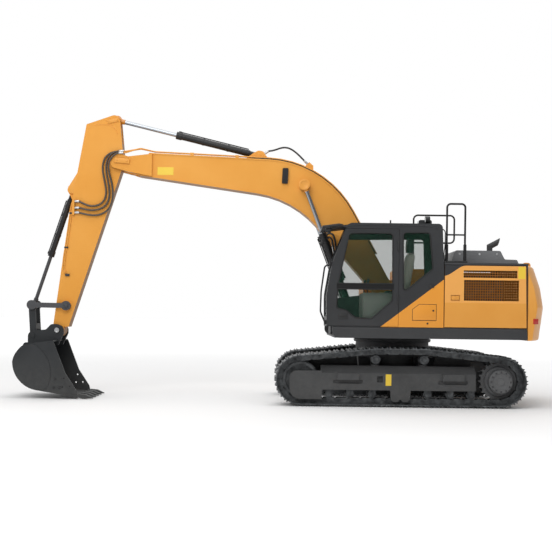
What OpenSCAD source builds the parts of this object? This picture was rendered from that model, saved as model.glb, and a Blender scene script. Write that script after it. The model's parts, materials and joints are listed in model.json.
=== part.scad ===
// Crawler excavator, parked on its tracks with the bucket just off the ground.
// Millimetres. Z is up, the boom points along -X, and the cab is on the -Y side.
// Inside the modules X is counted from the slew axis, so +X is towards the counterweight.

/* [Stance] */
// Slew axis behind the middle of the parked outline
slew_x = 1920; // [1700:10:2200]

/* [Tracks] */
// Distance from the idler's axle to the sprocket's
wheelbase = 3166; // [2900:2:3400]
// Distance between the middles of the two tracks
gauge = 1990; // [1900:5:2100]
// Width of a track shoe
shoe_w = 600; // [500:10:700]
// Number of shoes on a track
shoes = 44; // [40:1:48]
// Radius over the lugs around idler and sprocket
wrap_r = 412; // [395:1:430]
// Rise of the upper run from the ends to the carrier rollers
run_rise = 121; // [90:1:150]
// Carrier rollers before and behind the slew axis
carrier_x = 386; // [300:2:480]
// Height of a lug on its shoe
lug_h = 26; // [18:1:34]
// Thickness of a shoe
shoe_t = 14; // [10:1:20]
// Height of the chain's links
link_h = 86; // [70:2:100]
// Thickness of one row of links
link_t = 40; // [30:2:50]
// Distance of a row of links from the middle of its track
link_y = 85; // [75:1:95]
// Depth of the notch between two links
link_notch = 18; // [10:1:24]
// Radius of a lower roller
roller_r = 62; // [55:1:63]
// Height of a roller's flanges
roller_lip = 6; // [3:1:8]
// Lower rollers on both sides of the slew axis
roller_at = [440, 795, 1125];
// Radius of a carrier roller
carrier_r = 76; // [65:1:80]

/* [Track frames] */
// Width of a track frame
frame_w = 380; // [340:5:420]
// Underside of a track frame above its rollers
frame_gap = 8; // [4:1:12]
// Height of a track frame's side and of its roof
frame_side_h = 266; // [240:2:290]
frame_roof_h = 112; // [90:2:130]
// Half width of the roof's flat
roof_half = 65; // [50:1:80]
// Ends of the frame's box before idler and sprocket axle
idler_room = 323; // [300:1:350]
drive_room = 393; // [370:1:420]
// Thickness of the frame's end plates
fork_t = 40; // [25:1:50]
// Front of the idler's cover before the axle, its top above and its foot below the axle
cover_front = 169; // [150:1:190]
cover_rise = 144; // [130:1:160]
cover_drop = 307; // [290:1:320]
// Width, length and height of a step on the track frame
step_w = 55; // [40:5:70]
step_l = 340; // [300:10:380]
step_h = 104; // [80:2:120]
// Middle of a step from the slew axis
step_x = 830; // [780:5:880]
// Depth of the pocket under a step
pocket_d = 30; // [20:1:40]
// Radius of the final drive's cover
hub_r = 190; // [170:2:210]

/* [Car body] */
// Radius of a towing eye's hole
tow_r = 32; // [26:1:36]
// Thickness of a towing eye
tow_t = 40; // [30:2:50]
// Towing eye from the slew axis, from the middle and above the ground
tow_x = 690; // [680:1:700]
tow_y = 250; // [200:5:300]
tow_z = 560; // [550:1:570]
// Radius of the drum under the ring
drum_r = 560; // [520:5:600]
// Length of a beam along the machine
beam_l = 320; // [280:10:360]
// Radius of the ring on the car body
ring_low_r = 615; // [580:5:640]

/* [Slew ring] */
// Radius of the ring on the upper structure
ring_r = 650; // [620:5:700]
// Seam between the two rings above the ground
ring_z = 1000; // [960:5:1040]
// Height of the upper ring
ring_h = 80; // [60:2:100]

/* [Deck] */
// Half width of the upper structure
upper_half = 1250; // [1150:5:1350]
// Height of the skirts
skirt_h = 180; // [160:2:200]
// Thickness of a skirt
skirt_t = 60; // [40:5:80]
// Bevel along the skirts' top
bevel = 28; // [16:2:36]
// Radius of the skirts' lower front corner
skirt_r = 110; // [80:5:140]
// Front and rear of the deck
deck_front = -1090; // [-1200:5:-1040]
deck_rear = 1985; // [1900:5:2050]
// Thickness of the deck plate
deck_t = 30; // [20:1:50]
// Inner face of the plates beside the boom's foot
tower_y = 171; // [168:1:185]
// Thickness of those plates
tower_t = 35; // [25:1:45]

/* [Counterweight] */
// Tail radius about the slew axis
tail_r = 2470; // [2400:5:2540]
// Setback of the counterweight's top edge and bottom edge
tail_top_in = 169; // [140:1:200]
tail_low_in = 66; // [40:1:90]
// Top above the skirts and bottom below the deck
tail_rise = 1003; // [960:1:1040]
tail_drop = 11; // [4:1:20]
// Height of the tail's widest line above the skirts
tail_belt = 340; // [280:5:400]

/* [Engine bay] */
// Gap between the cab and the bay
bay_gap = 9; // [5:1:20]
// Top of the side doors above the skirts
door_h = 987; // [950:1:1000]
// Thickness of doors and lids
panel_t = 40; // [25:1:50]
// Thickness of the bay's roof
roof_t = 30; // [20:1:40]
// Front and rear of the hood
hood_front = 830; // [800:5:880]
hood_rear = 1935; // [1880:5:1945]
// Half width of the hood
hood_half = 850; // [760:10:950]
// Height of the hood's flat and of its raised part
hood_low_h = 85; // [70:1:100]
hood_top_h = 223; // [190:1:250]
// Rear of the hood's raised part
hood_step = 1700; // [1600:10:1760]
// Radius of the exhaust and thickness of its wall
pipe_r = 48; // [40:1:56]
pipe_t = 5; // [3:1:8]
// Place of the exhaust along and across the machine
pipe_x = 1609; // [1500:1:1650]
pipe_y = -150; // [-300:5:300]
// Pitch and bar of the grilles in the left door
mesh = 37; // [30:1:50]
mesh_bar = 9; // [6:1:14]

/* [Right side] */
// Seams between tool box, fuel tank and oil tank
box_seam = -473; // [-520:1:-430]
tank_seam = 93; // [60:1:130]
// Height of tool box, fuel tank and oil tank above the deck's beams
box_h = 480; // [420:5:540]
fuel_h = 800; // [740:5:860]
oil_h = 995; // [950:5:1000]

/* [Handrails] */
// Radius of a rail and of its crossbars
rail_r = 16; // [12:1:20]
// Radius of a rail's bends
rail_bend = 60; // [40:5:80]
// Distance of the rails from the upper structure's side
rail_in = 150; // [120:5:180]
// Legs of the left rail
rail_left = [717, 1006];
// Ends of the right rail
rail_right = [500, 1240];
// Height of both rails over the bay's roof
rail_left_h = 941; // [900:1:980]
rail_right_h = 985; // [940:1:1020]
// Height of their crossbars over the bay's roof
rail_bar_h = 450; // [420:5:490]

/* [Cab] */
// Right side of the cab
cab_right = -340; // [-360:1:-325]
// Front and rear of the cab
cab_front = -1190; // [-1240:5:-1150]
cab_rear = 655; // [630:5:680]
// Height of the cab
cab_h = 1634; // [1580:2:1690]
// Thickness of the cab's walls
cab_t = 45; // [35:1:60]
// Thickness of the panes and their depth in the wall
pane_t = 6; // [4:1:10]
pane_in = 15; // [10:1:20]
// Width of the pillars beside the front and rear window
pillar = 90; // [75:1:110]
// Seam between the door and the cab's rear side
door_seam = -58; // [-80:2:-30]
// Gap around the cab's door
door_gap = 5; // [4:1:8]
// Belt across the door's window: height above the floor and width
belt_at = 590; // [560:5:620]
belt_w = 90; // [70:5:110]
// Width of the chair
chair_w = 490; // [440:10:520]
// Width of a console beside the chair
console_w = 70; // [50:5:90]

/* [Boom] */
// Pin of the boom's foot behind the slew axis and above the deck
boom_at = [-60, 640];
// Nose pin from the foot pin
boom_reach = [-4593, 2271];
// Half width of the boom's box
boom_half = 155; // [145:1:158]
// Overhang of its flanges
flange = 8; // [4:1:9]
// Thickness of the boom's plates
boom_t = 22; // [14:1:30]
// Half width of the boom's nose
nose_half = 205; // [195:1:215]
// Radius of the main pins
pin_r = 45; // [40:1:50]
// Radius of the pipes on the boom and their distance from its top
line_r = 10; // [8:1:10]
line_up = 26; // [22:1:40]
// Pitch of the pipes side by side
line_pitch = 21; // [21:1:22]

/* [Arm] */
// Half width of the arm
arm_half = 122; // [112:1:126]
// Thickness of the arm's plates
arm_t = 20; // [14:1:26]
// Bucket pin and guide pin from the nose pin
arm_reach = [-1008, -2867];
guide_reach = [-867, -2454];
// Knuckle of guide links, bucket link and rod from the nose pin
knuckle_reach = [-1446, -2447];
// Pin of the bucket link in the bucket, from the bucket's pin
link_reach = [-406, -96];

/* [Cylinders] */
// Foot of the boom cylinders from the boom's foot pin
lift_foot_at = [-590, -400];
// Their rods' pin on the boom from the boom's foot pin
lift_head_at = [-1472, 1892];
// Distance of a boom cylinder from the middle
lift_y = 250; // [247:1:253]
// Foot of the arm cylinder from the boom's foot pin
crowd_foot_at = [-2249, 2409];
// Its rod's pin on the arm, from the nose pin
crowd_head_at = [-59, 708];
// Foot of the bucket cylinder from the nose pin
curl_foot_at = [-803, -500];
// Radius of the boom cylinders' barrels and rods
lift_r = 57; // [50:1:60]
lift_rod_r = 34; // [28:1:38]
// Radius of the arm cylinder's barrel and rod
crowd_r = 56; // [50:1:58]
crowd_rod_r = 34; // [26:1:38]
// Radius of the bucket cylinder's barrel and rod
curl_r = 47; // [44:1:48]
curl_rod_r = 30; // [24:1:34]
// Stem between a barrel's foot and its tube
stem = 160; // [150:1:170]
// Length of the barrels from foot pin to gland
lift_barrel = 1588; // [1560:2:1620]
crowd_barrel = 1440; // [1400:2:1480]
curl_barrel = 1180; // [1160:2:1200]
// Start of the rods inside their barrels
lift_start = 915; // [900:1:940]
crowd_start = 890; // [870:1:910]
curl_start = 675; // [660:1:700]
// Radius of a pipe along a barrel
feed_r = 9; // [7:1:10]

/* [Bucket] */
// Half width of the bucket's shell
bucket_half = 557; // [500:1:620]
// Thickness of the bucket's plates
bucket_t = 20; // [14:1:28]
// Thickness of the cutters on the bucket's sides
cutter_t = 8; // [6:1:12]
// Radius of the bucket's back
bucket_r = 475; // [460:1:490]
// Thickness and width of the wear strips on the back
wear_t = 12; // [8:1:16]
wear_w = 60; // [40:5:80]
// Inner face of the bucket's ears
ear_y = 166; // [164:1:172]
// Thickness of an ear
ear_t = 32; // [25:1:40]
// Thickness of a link's plate
link_plate = 30; // [24:1:32]
// Half width of the guide links' waist
link_waist = 42; // [36:1:60]
// Thickness of the lifting eye on the bucket's back
hook_t = 40; // [30:2:50]
// Radius of its hole
hook_r = 26; // [20:1:30]
// Its hole from the bucket's pin
hook_reach = [-554, -274];
// Number of teeth
teeth = 5; // [4:1:6]
// Width of a tooth
tooth_w = 95; // [70:5:110]

/* [Hoses] */
// Radius of a hose
hose_r = 16; // [12:1:17]

/* [Hidden] */
$fn = 64;
// Running fit of a pin, gap between moving sides, and seam between fixed pieces
fit = 0.08;
run = 6;
seam = 0.3;
track_y = gauge / 2;
sole = lug_h + shoe_t;
chain_in = sole + link_h;
run_top = 2 * wrap_r + run_rise;
roller_z = chain_in + roller_r;
carrier_z = run_top - chain_in - carrier_r - 3;
frame_low = roller_z + roller_r + frame_gap;
frame_side = frame_low + frame_side_h;
frame_top = frame_side + frame_roof_h;
axle_x = wheelbase / 2;
frame_front = idler_room - axle_x;
frame_rear = axle_x - drive_room;
deck_z = ring_z + ring_h;
floor_z = deck_z + skirt_h;
door_top = floor_z + door_h;
roof_low = door_top + 8;
roof_top = roof_low + roof_t;
hood_low = roof_top + hood_low_h;
hood_top = roof_top + hood_top_h;
bay_front = cab_rear + bay_gap;
cab_top = floor_z + cab_h;
cab_mid = (cab_right - upper_half) / 2;
cab_room = (cab_right + upper_half) / 2 - cab_t;
boom_pin = [boom_at[0], deck_z + boom_at[1]];
nose_pin = boom_pin + boom_reach;
bucket_pin = nose_pin + arm_reach;
guide_pin = nose_pin + guide_reach;
knuckle = nose_pin + knuckle_reach;
link_pin = bucket_pin + link_reach;
hook_at = bucket_pin + hook_reach;
lift_foot = boom_pin + lift_foot_at;
lift_head = boom_pin + lift_head_at;
crowd_foot = boom_pin + crowd_foot_at;
crowd_head = nose_pin + crowd_head_at;
curl_foot = nose_pin + curl_foot_at;

function unit(v) = v / norm(v);

// Point at a distance along the line between two others
function along(from, to, s) = from + unit(to - from) * s;

// Points of a corner [x, z, radius] rounded between its neighbours
function rounded(before, at, after) =
  let(p = [at[0], at[1]], r = len(at) > 2 ? at[2] : 0,
    u = unit([before[0], before[1]] - p), v = unit([after[0], after[1]] - p))
  r == 0 ? [p] :
  let(half = acos(u * v) / 2, c = p + unit(u + v) * r / sin(half),
    a = p + u * r / tan(half) - c, b = p + v * r / tan(half) - c,
    start = atan2(a[1], a[0]), sweep = (atan2(b[1], b[0]) - start + 540) % 360 - 180,
    steps = max(2, ceil(abs(sweep) / 7)))
  [for (i = [0 : steps]) c + r * [cos(start + sweep * i / steps), sin(start + sweep * i / steps)]];

// Closed outline with rounded corners
function outline(corners) = let(n = len(corners))
  [for (i = [0 : n - 1]) each rounded(corners[(i + n - 1) % n], corners[i], corners[(i + 1) % n])];

// Open route with rounded corners
function bent(corners) = let(n = len(corners))
  concat([[corners[0][0], corners[0][1]]], [for (i = [1 : n - 2]) each rounded(corners[i - 1], corners[i], corners[i + 1])],
    [[corners[n - 1][0], corners[n - 1][1]]]);

// The same corners moved to a pin
function from_pin(pin, corners) = [for (c = corners) [pin[0] + c[0], pin[1] + c[1], len(c) > 2 ? c[2] : 0]];

// Turns a drawing in X and Z upright, thick along Y from y0 to y1
module upright(y0, y1) { translate([0, y1, 0]) rotate([90, 0, 0]) linear_extrude(y1 - y0) children(); }
module slab(points, y0, y1) { upright(y0, y1) polygon([for (p = points) [p[0], p[1]]]); }

// Pair of such slabs on both sides of the middle
module slabs(points, y0, y1) {
  slab(points, y0, y1);
  slab(points, -y1, -y0);
}

// Round bar along Y at a point in X and Z
module bar_y(at, r, y0, y1) {
  translate([at[0], y0, at[1]]) rotate([-90, 0, 0]) cylinder(r = r, h = y1 - y0);
}

// Pair of short round bars on both sides of the middle
module bars_y(at, r, y0, y1) {
  bar_y(at, r, y0, y1);
  bar_y(at, r, -y1, -y0);
}

// Round bar between two points in X and Z, at one Y
module bar(from, to, y, r) {
  d = to - from;
  translate([from[0], y, from[1]]) rotate([0, 90 - atan2(d[1], d[0]), 0]) cylinder(r = r, h = norm(d));
}

// Box from one corner to the opposite one
module block(low, high) { translate(low) cube(high - low); }

// Round rod between two points in space
module stick(from, to, r) {
  u = unit(to - from);
  translate(from) rotate([0, acos(u[2]), atan2(u[1], u[0])]) cylinder(r = r, h = norm(to - from));
}

// Bent pipe along a route whose points carry the bend's radius
function at_of(p) = [p[0], p[1], p[2]];
function turn_at(route, i) =
  acos(unit(at_of(route[i]) - at_of(route[i - 1])) * unit(at_of(route[i + 1]) - at_of(route[i])));
function trim_at(route, i) =
  i == 0 || i == len(route) - 1 ? 0 : route[i][3] * tan(turn_at(route, i) / 2);
module pipe(route, r) {
  for (i = [0 : len(route) - 2]) {
    a = at_of(route[i]);
    b = at_of(route[i + 1]);
    stick(a + unit(b - a) * trim_at(route, i), b - unit(b - a) * trim_at(route, i + 1), r);
  }
  for (i = [1 : 1 : len(route) - 2]) {
    p = at_of(route[i]);
    u = unit(p - at_of(route[i - 1]));
    v = unit(at_of(route[i + 1]) - p);
    bend = route[i][3];
    start = p - u * trim_at(route, i);
    inward = unit(v - u * (u * v));
    c = start + inward * bend;
    z = cross(-inward, u);
    multmatrix([[-inward[0], u[0], z[0], c[0]], [-inward[1], u[1], z[1], c[1]], [-inward[2], u[2], z[2], c[2]]])
      rotate_extrude(angle = turn_at(route, i)) translate([bend, 0]) circle(r = r, $fn = 32);
  }
}

// Hose or thin line swept along a route of points
hose_sides = 8;
function hose_ring(route, i, r) =
  let(n = len(route), t = unit(route[min(i + 1, n - 1)] - route[max(i - 1, 0)]),
    side = unit([0, 1, 0] - t * t[1]), up = cross(t, side))
  [for (k = [0 : hose_sides - 1]) let(a = 360 * k / hose_sides) route[i] + r * (cos(a) * side + sin(a) * up)];
module hose(route, r) {
  n = len(route);
  polyhedron(points = [for (i = [0 : n - 1]) each hose_ring(route, i, r)],
    faces = concat([[for (k = [0 : hose_sides - 1]) k]],
      [for (i = [0 : n - 2]) for (k = [0 : hose_sides - 1]) let(a = i * hose_sides, b = a + hose_sides, m = (k + 1) % hose_sides)
        [a + k, b + k, b + m, a + m]],
      [[for (k = [hose_sides - 1 : -1 : 0]) (n - 1) * hose_sides + k]]));
}

// Half of the track's outline over the lugs, from the middle of the ground run to the middle of the top
wrap_c = [axle_x, wrap_r];
over = [carrier_x, run_top] - wrap_c;
lift_off = atan2(over[1], over[0]) - acos(wrap_r / norm(over));
arc_len = wrap_r * (lift_off + 90) * PI / 180;
slope_len = sqrt(over * over - wrap_r * wrap_r);
half_len = axle_x + arc_len + slope_len + carrier_x;
function half_at(s, out) =
  s < axle_x ? [s, -out] :
  s < axle_x + arc_len ?
    let(a = (s - axle_x) / wrap_r * 180 / PI - 90) wrap_c + (wrap_r + out) * [cos(a), sin(a)] :
  s < half_len - carrier_x ?
    let(d = s - axle_x - arc_len)
      wrap_c + (wrap_r + out) * [cos(lift_off), sin(lift_off)] + d * [-sin(lift_off), cos(lift_off)] :
  [half_len - s, run_top + out];
function track_at(s, out) =
  let(t = s - 2 * half_len * floor(s / (2 * half_len)))
    t <= half_len ? half_at(t, out) : let(p = half_at(2 * half_len - t, out)) [-p[0], p[1]];
// One shoe's three lugs and one link's edge: place along the shoe and depth
shoe_shape = [for (at = [0.09, 0.48, 0.87]) each [[at - 0.07, lug_h], [at, 0], [at + 0.07, lug_h]]];
link_shape = [[0, chain_in - link_notch], [0.13, chain_in], [0.87, chain_in]];
function repeat(shape) = [for (i = [0 : shoes - 1]) for (p = shape)
  track_at((i + p[0]) * 2 * half_len / shoes, -p[1])];

// Smooth loop inside the lugs
wrap_steps = 10;
function half_loop(in) = concat([for (i = [0 : wrap_steps]) let(a = -90 + i * (lift_off + 90) / wrap_steps)
  wrap_c + (wrap_r - in) * [cos(a), sin(a)]], [[carrier_x - in * tan((90 - lift_off) / 2), run_top - in]]);
function loop(in) = let(h = half_loop(in), n = len(h))
  concat(h, [for (i = [n - 1 : -1 : 0]) [-h[i][0], h[i][1]]]);

module track(y) {
  color("#3a3b3c") {
    upright(y - shoe_w / 2, y + shoe_w / 2) difference() { polygon(repeat(shoe_shape)); polygon(loop(sole)); }
    for (row = [y - link_y, y + link_y]) upright(row - link_t / 2, row + link_t / 2)
      difference() { polygon(loop(sole - 2)); polygon(repeat(link_shape)); }
  }
}
module track_left() { track(-track_y); }
module track_right() { track(track_y); }

// Toothed disc, hub and cover of a final drive; out points away from the machine's middle
drive_teeth = 21;
tooth_h = 34;
drive_r = wrap_r - chain_in + tooth_h;
module sprocket(out) {
  root = fork_t - frame_w / 2;
  face = frame_w / 2 + 35;
  color("#55565a") translate([axle_x, out * track_y, wrap_r]) rotate([-90 * out, 0, 0]) {
    translate([0, 0, -28]) linear_extrude(56) polygon([for (i = [0 : drive_teeth - 1])
      for (p = [[0, tooth_h], [0.28, tooth_h], [0.42, 0], [0.62, 0], [0.76, tooth_h]])
        let(a = (i + p[0]) * 360 / drive_teeth) (drive_r - p[1]) * [cos(a), sin(a)]]);
    rotate_extrude() polygon([[0, root], [hub_r + 15, root], [hub_r + 15, -20], [hub_r + 45, -20], [hub_r + 45, 80],
      [hub_r + 30, 95], [hub_r, 95], [hub_r, face - 16], [hub_r - 16, face], [hub_r - 55, face], [hub_r - 62, face - 8],
      [62, face - 8], [55, face], [0, face]]);
  }
}
module sprocket_left() { sprocket(-1); }
module sprocket_right() { sprocket(1); }

// Idler with a rim on each side of the middle flange and a recessed web
module idler(out) {
  rim = wrap_r - chain_in - 6;
  axle = frame_w / 2 - fork_t;
  half = [[60, axle], [60, 118], [112, 118], [112, 48], [rim - 42, 48], [rim - 42, 118], [rim, 118], [rim, 55], [rim + 16, 55]];
  color("#4a4b4d") translate([-axle_x, out * track_y, wrap_r]) rotate([90, 0, 0])
    rotate_extrude() polygon(concat([[0, axle]], half,
      [for (i = [len(half) - 1 : -1 : 0]) [half[i][0], -half[i][1]]], [[0, -axle]]));
}
module idler_left() { idler(-1); }
module idler_right() { idler(1); }

module rollers(out) {
  foot = 127;
  inner = link_y - link_t / 2 - 3;
  outer = link_y + link_t / 2 + 3;
  tread = [[0, -118], [roller_r + roller_lip, -118], [roller_r + roller_lip, -outer], [roller_r, -outer], [roller_r, -inner],
    [roller_r - 14, 12 - inner], [roller_r - 14, inner - 12], [roller_r, inner], [roller_r, outer],
    [roller_r + roller_lip, outer], [roller_r + roller_lip, 110], [0, 110]];
  bracket = [[-60, frame_low], [60, frame_low], [34, roller_z - 34], [-34, roller_z - 34]];
  color("#3f4042") {
    for (x = concat([0], roller_at, -roller_at)) translate([x, out * track_y, 0]) {
      translate([0, 0, roller_z]) rotate([90, 0, 0]) rotate_extrude() polygon(tread);
      for (y = [-foot, foot]) slab(bracket, y - 15, y + 15);
    }
    for (x = [-carrier_x, carrier_x]) translate([x, out * track_y, carrier_z]) rotate([90 * out, 0, 0])
      rotate_extrude() polygon([[0, -135], [34, -135], [34, -112], [carrier_r - 10, -112], [carrier_r, -102], [carrier_r, -40],
        [carrier_r - 12, -30], [carrier_r - 12, 30], [carrier_r, 40], [carrier_r, 102], [carrier_r - 10, 112], [34, 112], [34, 150], [0, 150]]);
  }
}
module rollers_left() { rollers(-1); }
module rollers_right() { rollers(1); }

// Box with a roofed top, idler cover, drive plate, steps and a guard between the rollers; drawn for the right side
module track_frame(out) {
  side = frame_w / 2;
  roof = [[-side, frame_low], [side, frame_low], [side, frame_side], [roof_half, frame_top], [-roof_half, frame_top],
    [-side, frame_side]];
  cover = outline([[frame_front + 20, wrap_r - cover_drop], [frame_front + 20, wrap_r + cover_rise],
    [-axle_x - cover_front, wrap_r + cover_rise, 110], [-axle_x - cover_front, wrap_r - cover_drop, 170]]);
  guard = [[-160, frame_low + 5], [-150, 110], [-110, 75], [-40, 75], [0, 118], [40, 75], [110, 75], [150, 110], [165, frame_low + 5]];
  hatch = [-325, frame_low + 172];
  color("#5c5e60") translate([0, out * track_y, 0]) mirror([0, out < 0 ? 1 : 0, 0]) {
    difference() {
      translate([frame_front, 0, 0]) rotate([90, 0, 90]) linear_extrude(frame_rear - frame_front) polygon(roof);
      block([hatch[0] - 45, side - 60, hatch[1] - 50], [hatch[0] + 45, side + 1, hatch[1] + 50]);
      for (x = [-step_x, step_x]) slab(outline([[x - 240, frame_low + 100, 25], [x + 240, frame_low + 100, 25],
        [x + 225, frame_low + 160], [x - 225, frame_low + 160]]), side - pocket_d, side + 1);
    }
    for (y = [-side, side - fork_t]) slab(cover, y, y + fork_t);
    slab([[frame_rear - 5, frame_low], [axle_x, wrap_r - hub_r - 35], [axle_x, wrap_r + hub_r + 35], [frame_rear - 5, frame_side]],
      -side, fork_t - side);
    bar_y([axle_x, wrap_r], hub_r + 35, -side, fork_t - side);
    for (y = [-side, side - 30]) slab(guard, y, y + 30);
    for (x = [-step_x, step_x]) slab(outline([[x - step_l / 2, frame_low + 160], [x + step_l / 2, frame_low + 160],
      [x + step_l / 2, frame_low + 160 + step_h, 30], [x - step_l / 2, frame_low + 160 + step_h, 30]]), side - 5, side + step_w);
    for (x = [-carrier_x, carrier_x]) {
      slab(outline([[x - 75, frame_side - 40], [x + 75, frame_side - 40], [x + 45, carrier_z + 50, 40], [x - 45, carrier_z + 50, 40]]),
        -side, -150);
      translate([x, 0, frame_top - 5]) cylinder(r = roof_half, h = 25);
    }
  }
}
module track_frame_left() { track_frame(-1); }
module track_frame_right() { track_frame(1); }

// Drum, two arched beams to the track frames, towing eyes and the ring's seat
module car_body() {
  reach = track_y - frame_w / 2;
  arch = [[-reach, frame_low + 42], [-reach + 205, frame_low + 212], [reach - 205, frame_low + 212], [reach, frame_low + 42],
    [reach, frame_side - 4], [reach - 245, frame_side + 236], [245 - reach, frame_side + 236], [-reach, frame_side - 4]];
  ring_low = ring_z - 120;
  color("#4d4f51") {
    rotate_extrude() polygon([[0, frame_low + 212], [drum_r, frame_low + 212], [drum_r, ring_low - 40], [ring_low_r, ring_low],
      [ring_low_r, ring_z], [0, ring_z]]);
    for (x = [-1, 1]) for (y = [-tow_y, tow_y]) difference() {
      translate([0, y, tow_z - tow_t / 2]) linear_extrude(tow_t)
        polygon(outline([[x * (drum_r - 80), -70], [x * (tow_x + 62), -70, 55], [x * (tow_x + 62), 70, 55], [x * (drum_r - 80), 70]]));
      translate([x * tow_x, y, tow_z - tow_t]) cylinder(r = tow_r, h = 2 * tow_t);
    }
    for (x = [300 - drum_r - beam_l - 40, 300]) translate([x, 0, 0]) rotate([90, 0, 90]) linear_extrude(beam_l) polygon(arch);
  }
}

module slew_ring() {
  color("#2e2f30") translate([0, 0, ring_z]) rotate_extrude()
    polygon([[0, 0], [ring_r - 12, 0], [ring_r, 12], [ring_r, 44], [ring_r - 25, 48], [ring_r - 25, ring_h], [0, ring_h]]);
}

// Deck, the two plates that carry the boom, and the cross beams under cab and tanks
module swing_frame() {
  edge = upper_half - skirt_t;
  tower = outline([[-790, deck_z], [-790, floor_z + 80, 40], [-650, floor_z + 160], [-430, floor_z + 240, 60],
    [boom_pin[0] - 140, boom_pin[1] + 20, 40], [boom_pin[0] - 105, boom_pin[1] + 135, 90], [boom_pin[0] + 120, boom_pin[1] + 135, 110],
    [boom_pin[0] + 155, boom_pin[1], 0], [240, floor_z + 200, 200], [600, floor_z], [deck_rear - 40, floor_z], [deck_rear - 40, deck_z]]);
  lug = outline([[lift_foot[0] - 125, deck_z], [lift_foot[0] - 125, lift_foot[1] + 80, 100], [lift_foot[0] + 125, lift_foot[1] + 80, 100],
    [lift_foot[0] + 125, deck_z]]);
  lug_in = lift_y + 46;
  color("#2f3132") {
    block([deck_front + 40, -edge, deck_z], [deck_rear, edge, deck_z + deck_t]);
    slabs(tower, tower_y, tower_y + tower_t);
    slabs(lug, lug_in, lug_in + 26);
    bar_y(boom_pin, pin_r, -tower_y - tower_t - 12, tower_y + tower_t + 12);
    bars_y(lift_foot, pin_r - 5, tower_y, lug_in + 34);
    for (x = [deck_front + 60, -560, 0, cab_rear - 95]) for (side = [[-edge, cab_right], [-cab_right, edge]])
      block([x, side[0], deck_z], [x + 60, side[1], floor_z]);
    for (x = [900, 1700]) block([x, -500, deck_z], [x + 80, 850, floor_z + 40]);
  }
}

module skirts() {
  side = outline([[deck_front, floor_z], [deck_front, deck_z, skirt_r], [deck_rear, deck_z], [deck_rear - 15, floor_z]]);
  section = [[upper_half - skirt_t, deck_z - 1], [upper_half, deck_z - 1], [upper_half, floor_z - bevel], [upper_half - bevel / 2, floor_z],
    [upper_half - skirt_t, floor_z]];
  color("#434547") for (m = [0, 1]) mirror([0, m, 0]) intersection() {
    slab(side, upper_half - skirt_t, upper_half);
    translate([deck_front - 1, 0, 0]) rotate([90, 0, 90]) linear_extrude(deck_rear - deck_front + 2) polygon(section);
  }
}

// Tail swept about the slew axis, trimmed to the upper structure's width, with rounded hips and lifting eyes
module counterweight() {
  low = deck_z - tail_drop;
  top = floor_z + tail_rise;
  belt = floor_z + tail_belt;
  profile = outline([[0, low], [tail_r - tail_low_in, low, 30], [tail_r, belt, 160], [tail_r - 50, belt + 310, 600],
    [tail_r - tail_top_in, top, 60], [0, top]]);
  hip = sqrt(tail_r * tail_r - upper_half * upper_half);
  plan = outline([[deck_rear, -upper_half], [hip + 25, -upper_half, 110], [tail_r + 130, 130 - upper_half / 2, 0],
    [tail_r + 130, upper_half / 2 - 130, 0], [hip + 25, upper_half, 110], [deck_rear, upper_half]]);
  color("#dd9345") {
    intersection() {
      rotate_extrude($fn = 96) polygon(profile);
      linear_extrude(top + 10) polygon(plan);
    }
    for (y = [-upper_half / 2, upper_half / 2]) difference() {
      slab(outline([[deck_rear + 60, top - 5], [deck_rear + 60, top + 70, 45], [deck_rear + 190, top + 70, 45], [deck_rear + 190, top - 5]]),
        y - 15, y + 15);
      bar_y([deck_rear + 125, top + 32], 22, y - 16, y + 16);
    }
  }
}

// Front bulkhead, rear posts and four roof sheets around the hood's opening
module bay_frame() {
  edge = upper_half - panel_t;
  hole_x = [hood_front + 75, hood_rear - 30];
  color("#3b3d3f") {
    block([bay_front, -edge, floor_z], [bay_front + 36, edge, roof_low - seam]);
    for (y = [[-edge, -hood_half - 50], [hood_half + 50, edge]])
      block([deck_rear - 45, y[0], floor_z], [deck_rear, y[1], roof_low - seam]);
    for (x = [[bay_front, hole_x[0] - seam], [hole_x[1] + seam, deck_rear]])
      block([x[0], 5 - upper_half, roof_low], [x[1], upper_half - 5, roof_top]);
    for (y = [[5 - upper_half, 40 - hood_half], [hood_half - 40, upper_half - 5]])
      block([hole_x[0], y[0], roof_low], [hole_x[1], y[1], roof_top]);
  }
}

module engine_block() {
  color("#6a6c6e") block([900, -450, floor_z + 40], [1780, 800, roof_low - 135]);
}

module engine_hood() {
  shape = outline([[hood_front, roof_top], [hood_front + 65, hood_top, 55], [hood_step - 70, hood_top, 40], [hood_step, hood_low, 30],
    [hood_rear - 35, hood_low - 5, 30], [hood_rear, roof_top]]);
  color("#6c6c6e") difference() {
    slab(shape, -hood_half, hood_half);
    upright(panel_t - hood_half, hood_half - panel_t) union() {
      offset(delta = -panel_t) polygon(shape);
      translate([hood_front + panel_t + 8, roof_top - 1]) square([hood_rear - hood_front - 2 * panel_t - 20, panel_t + 2]);
    }
  }
}

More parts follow.
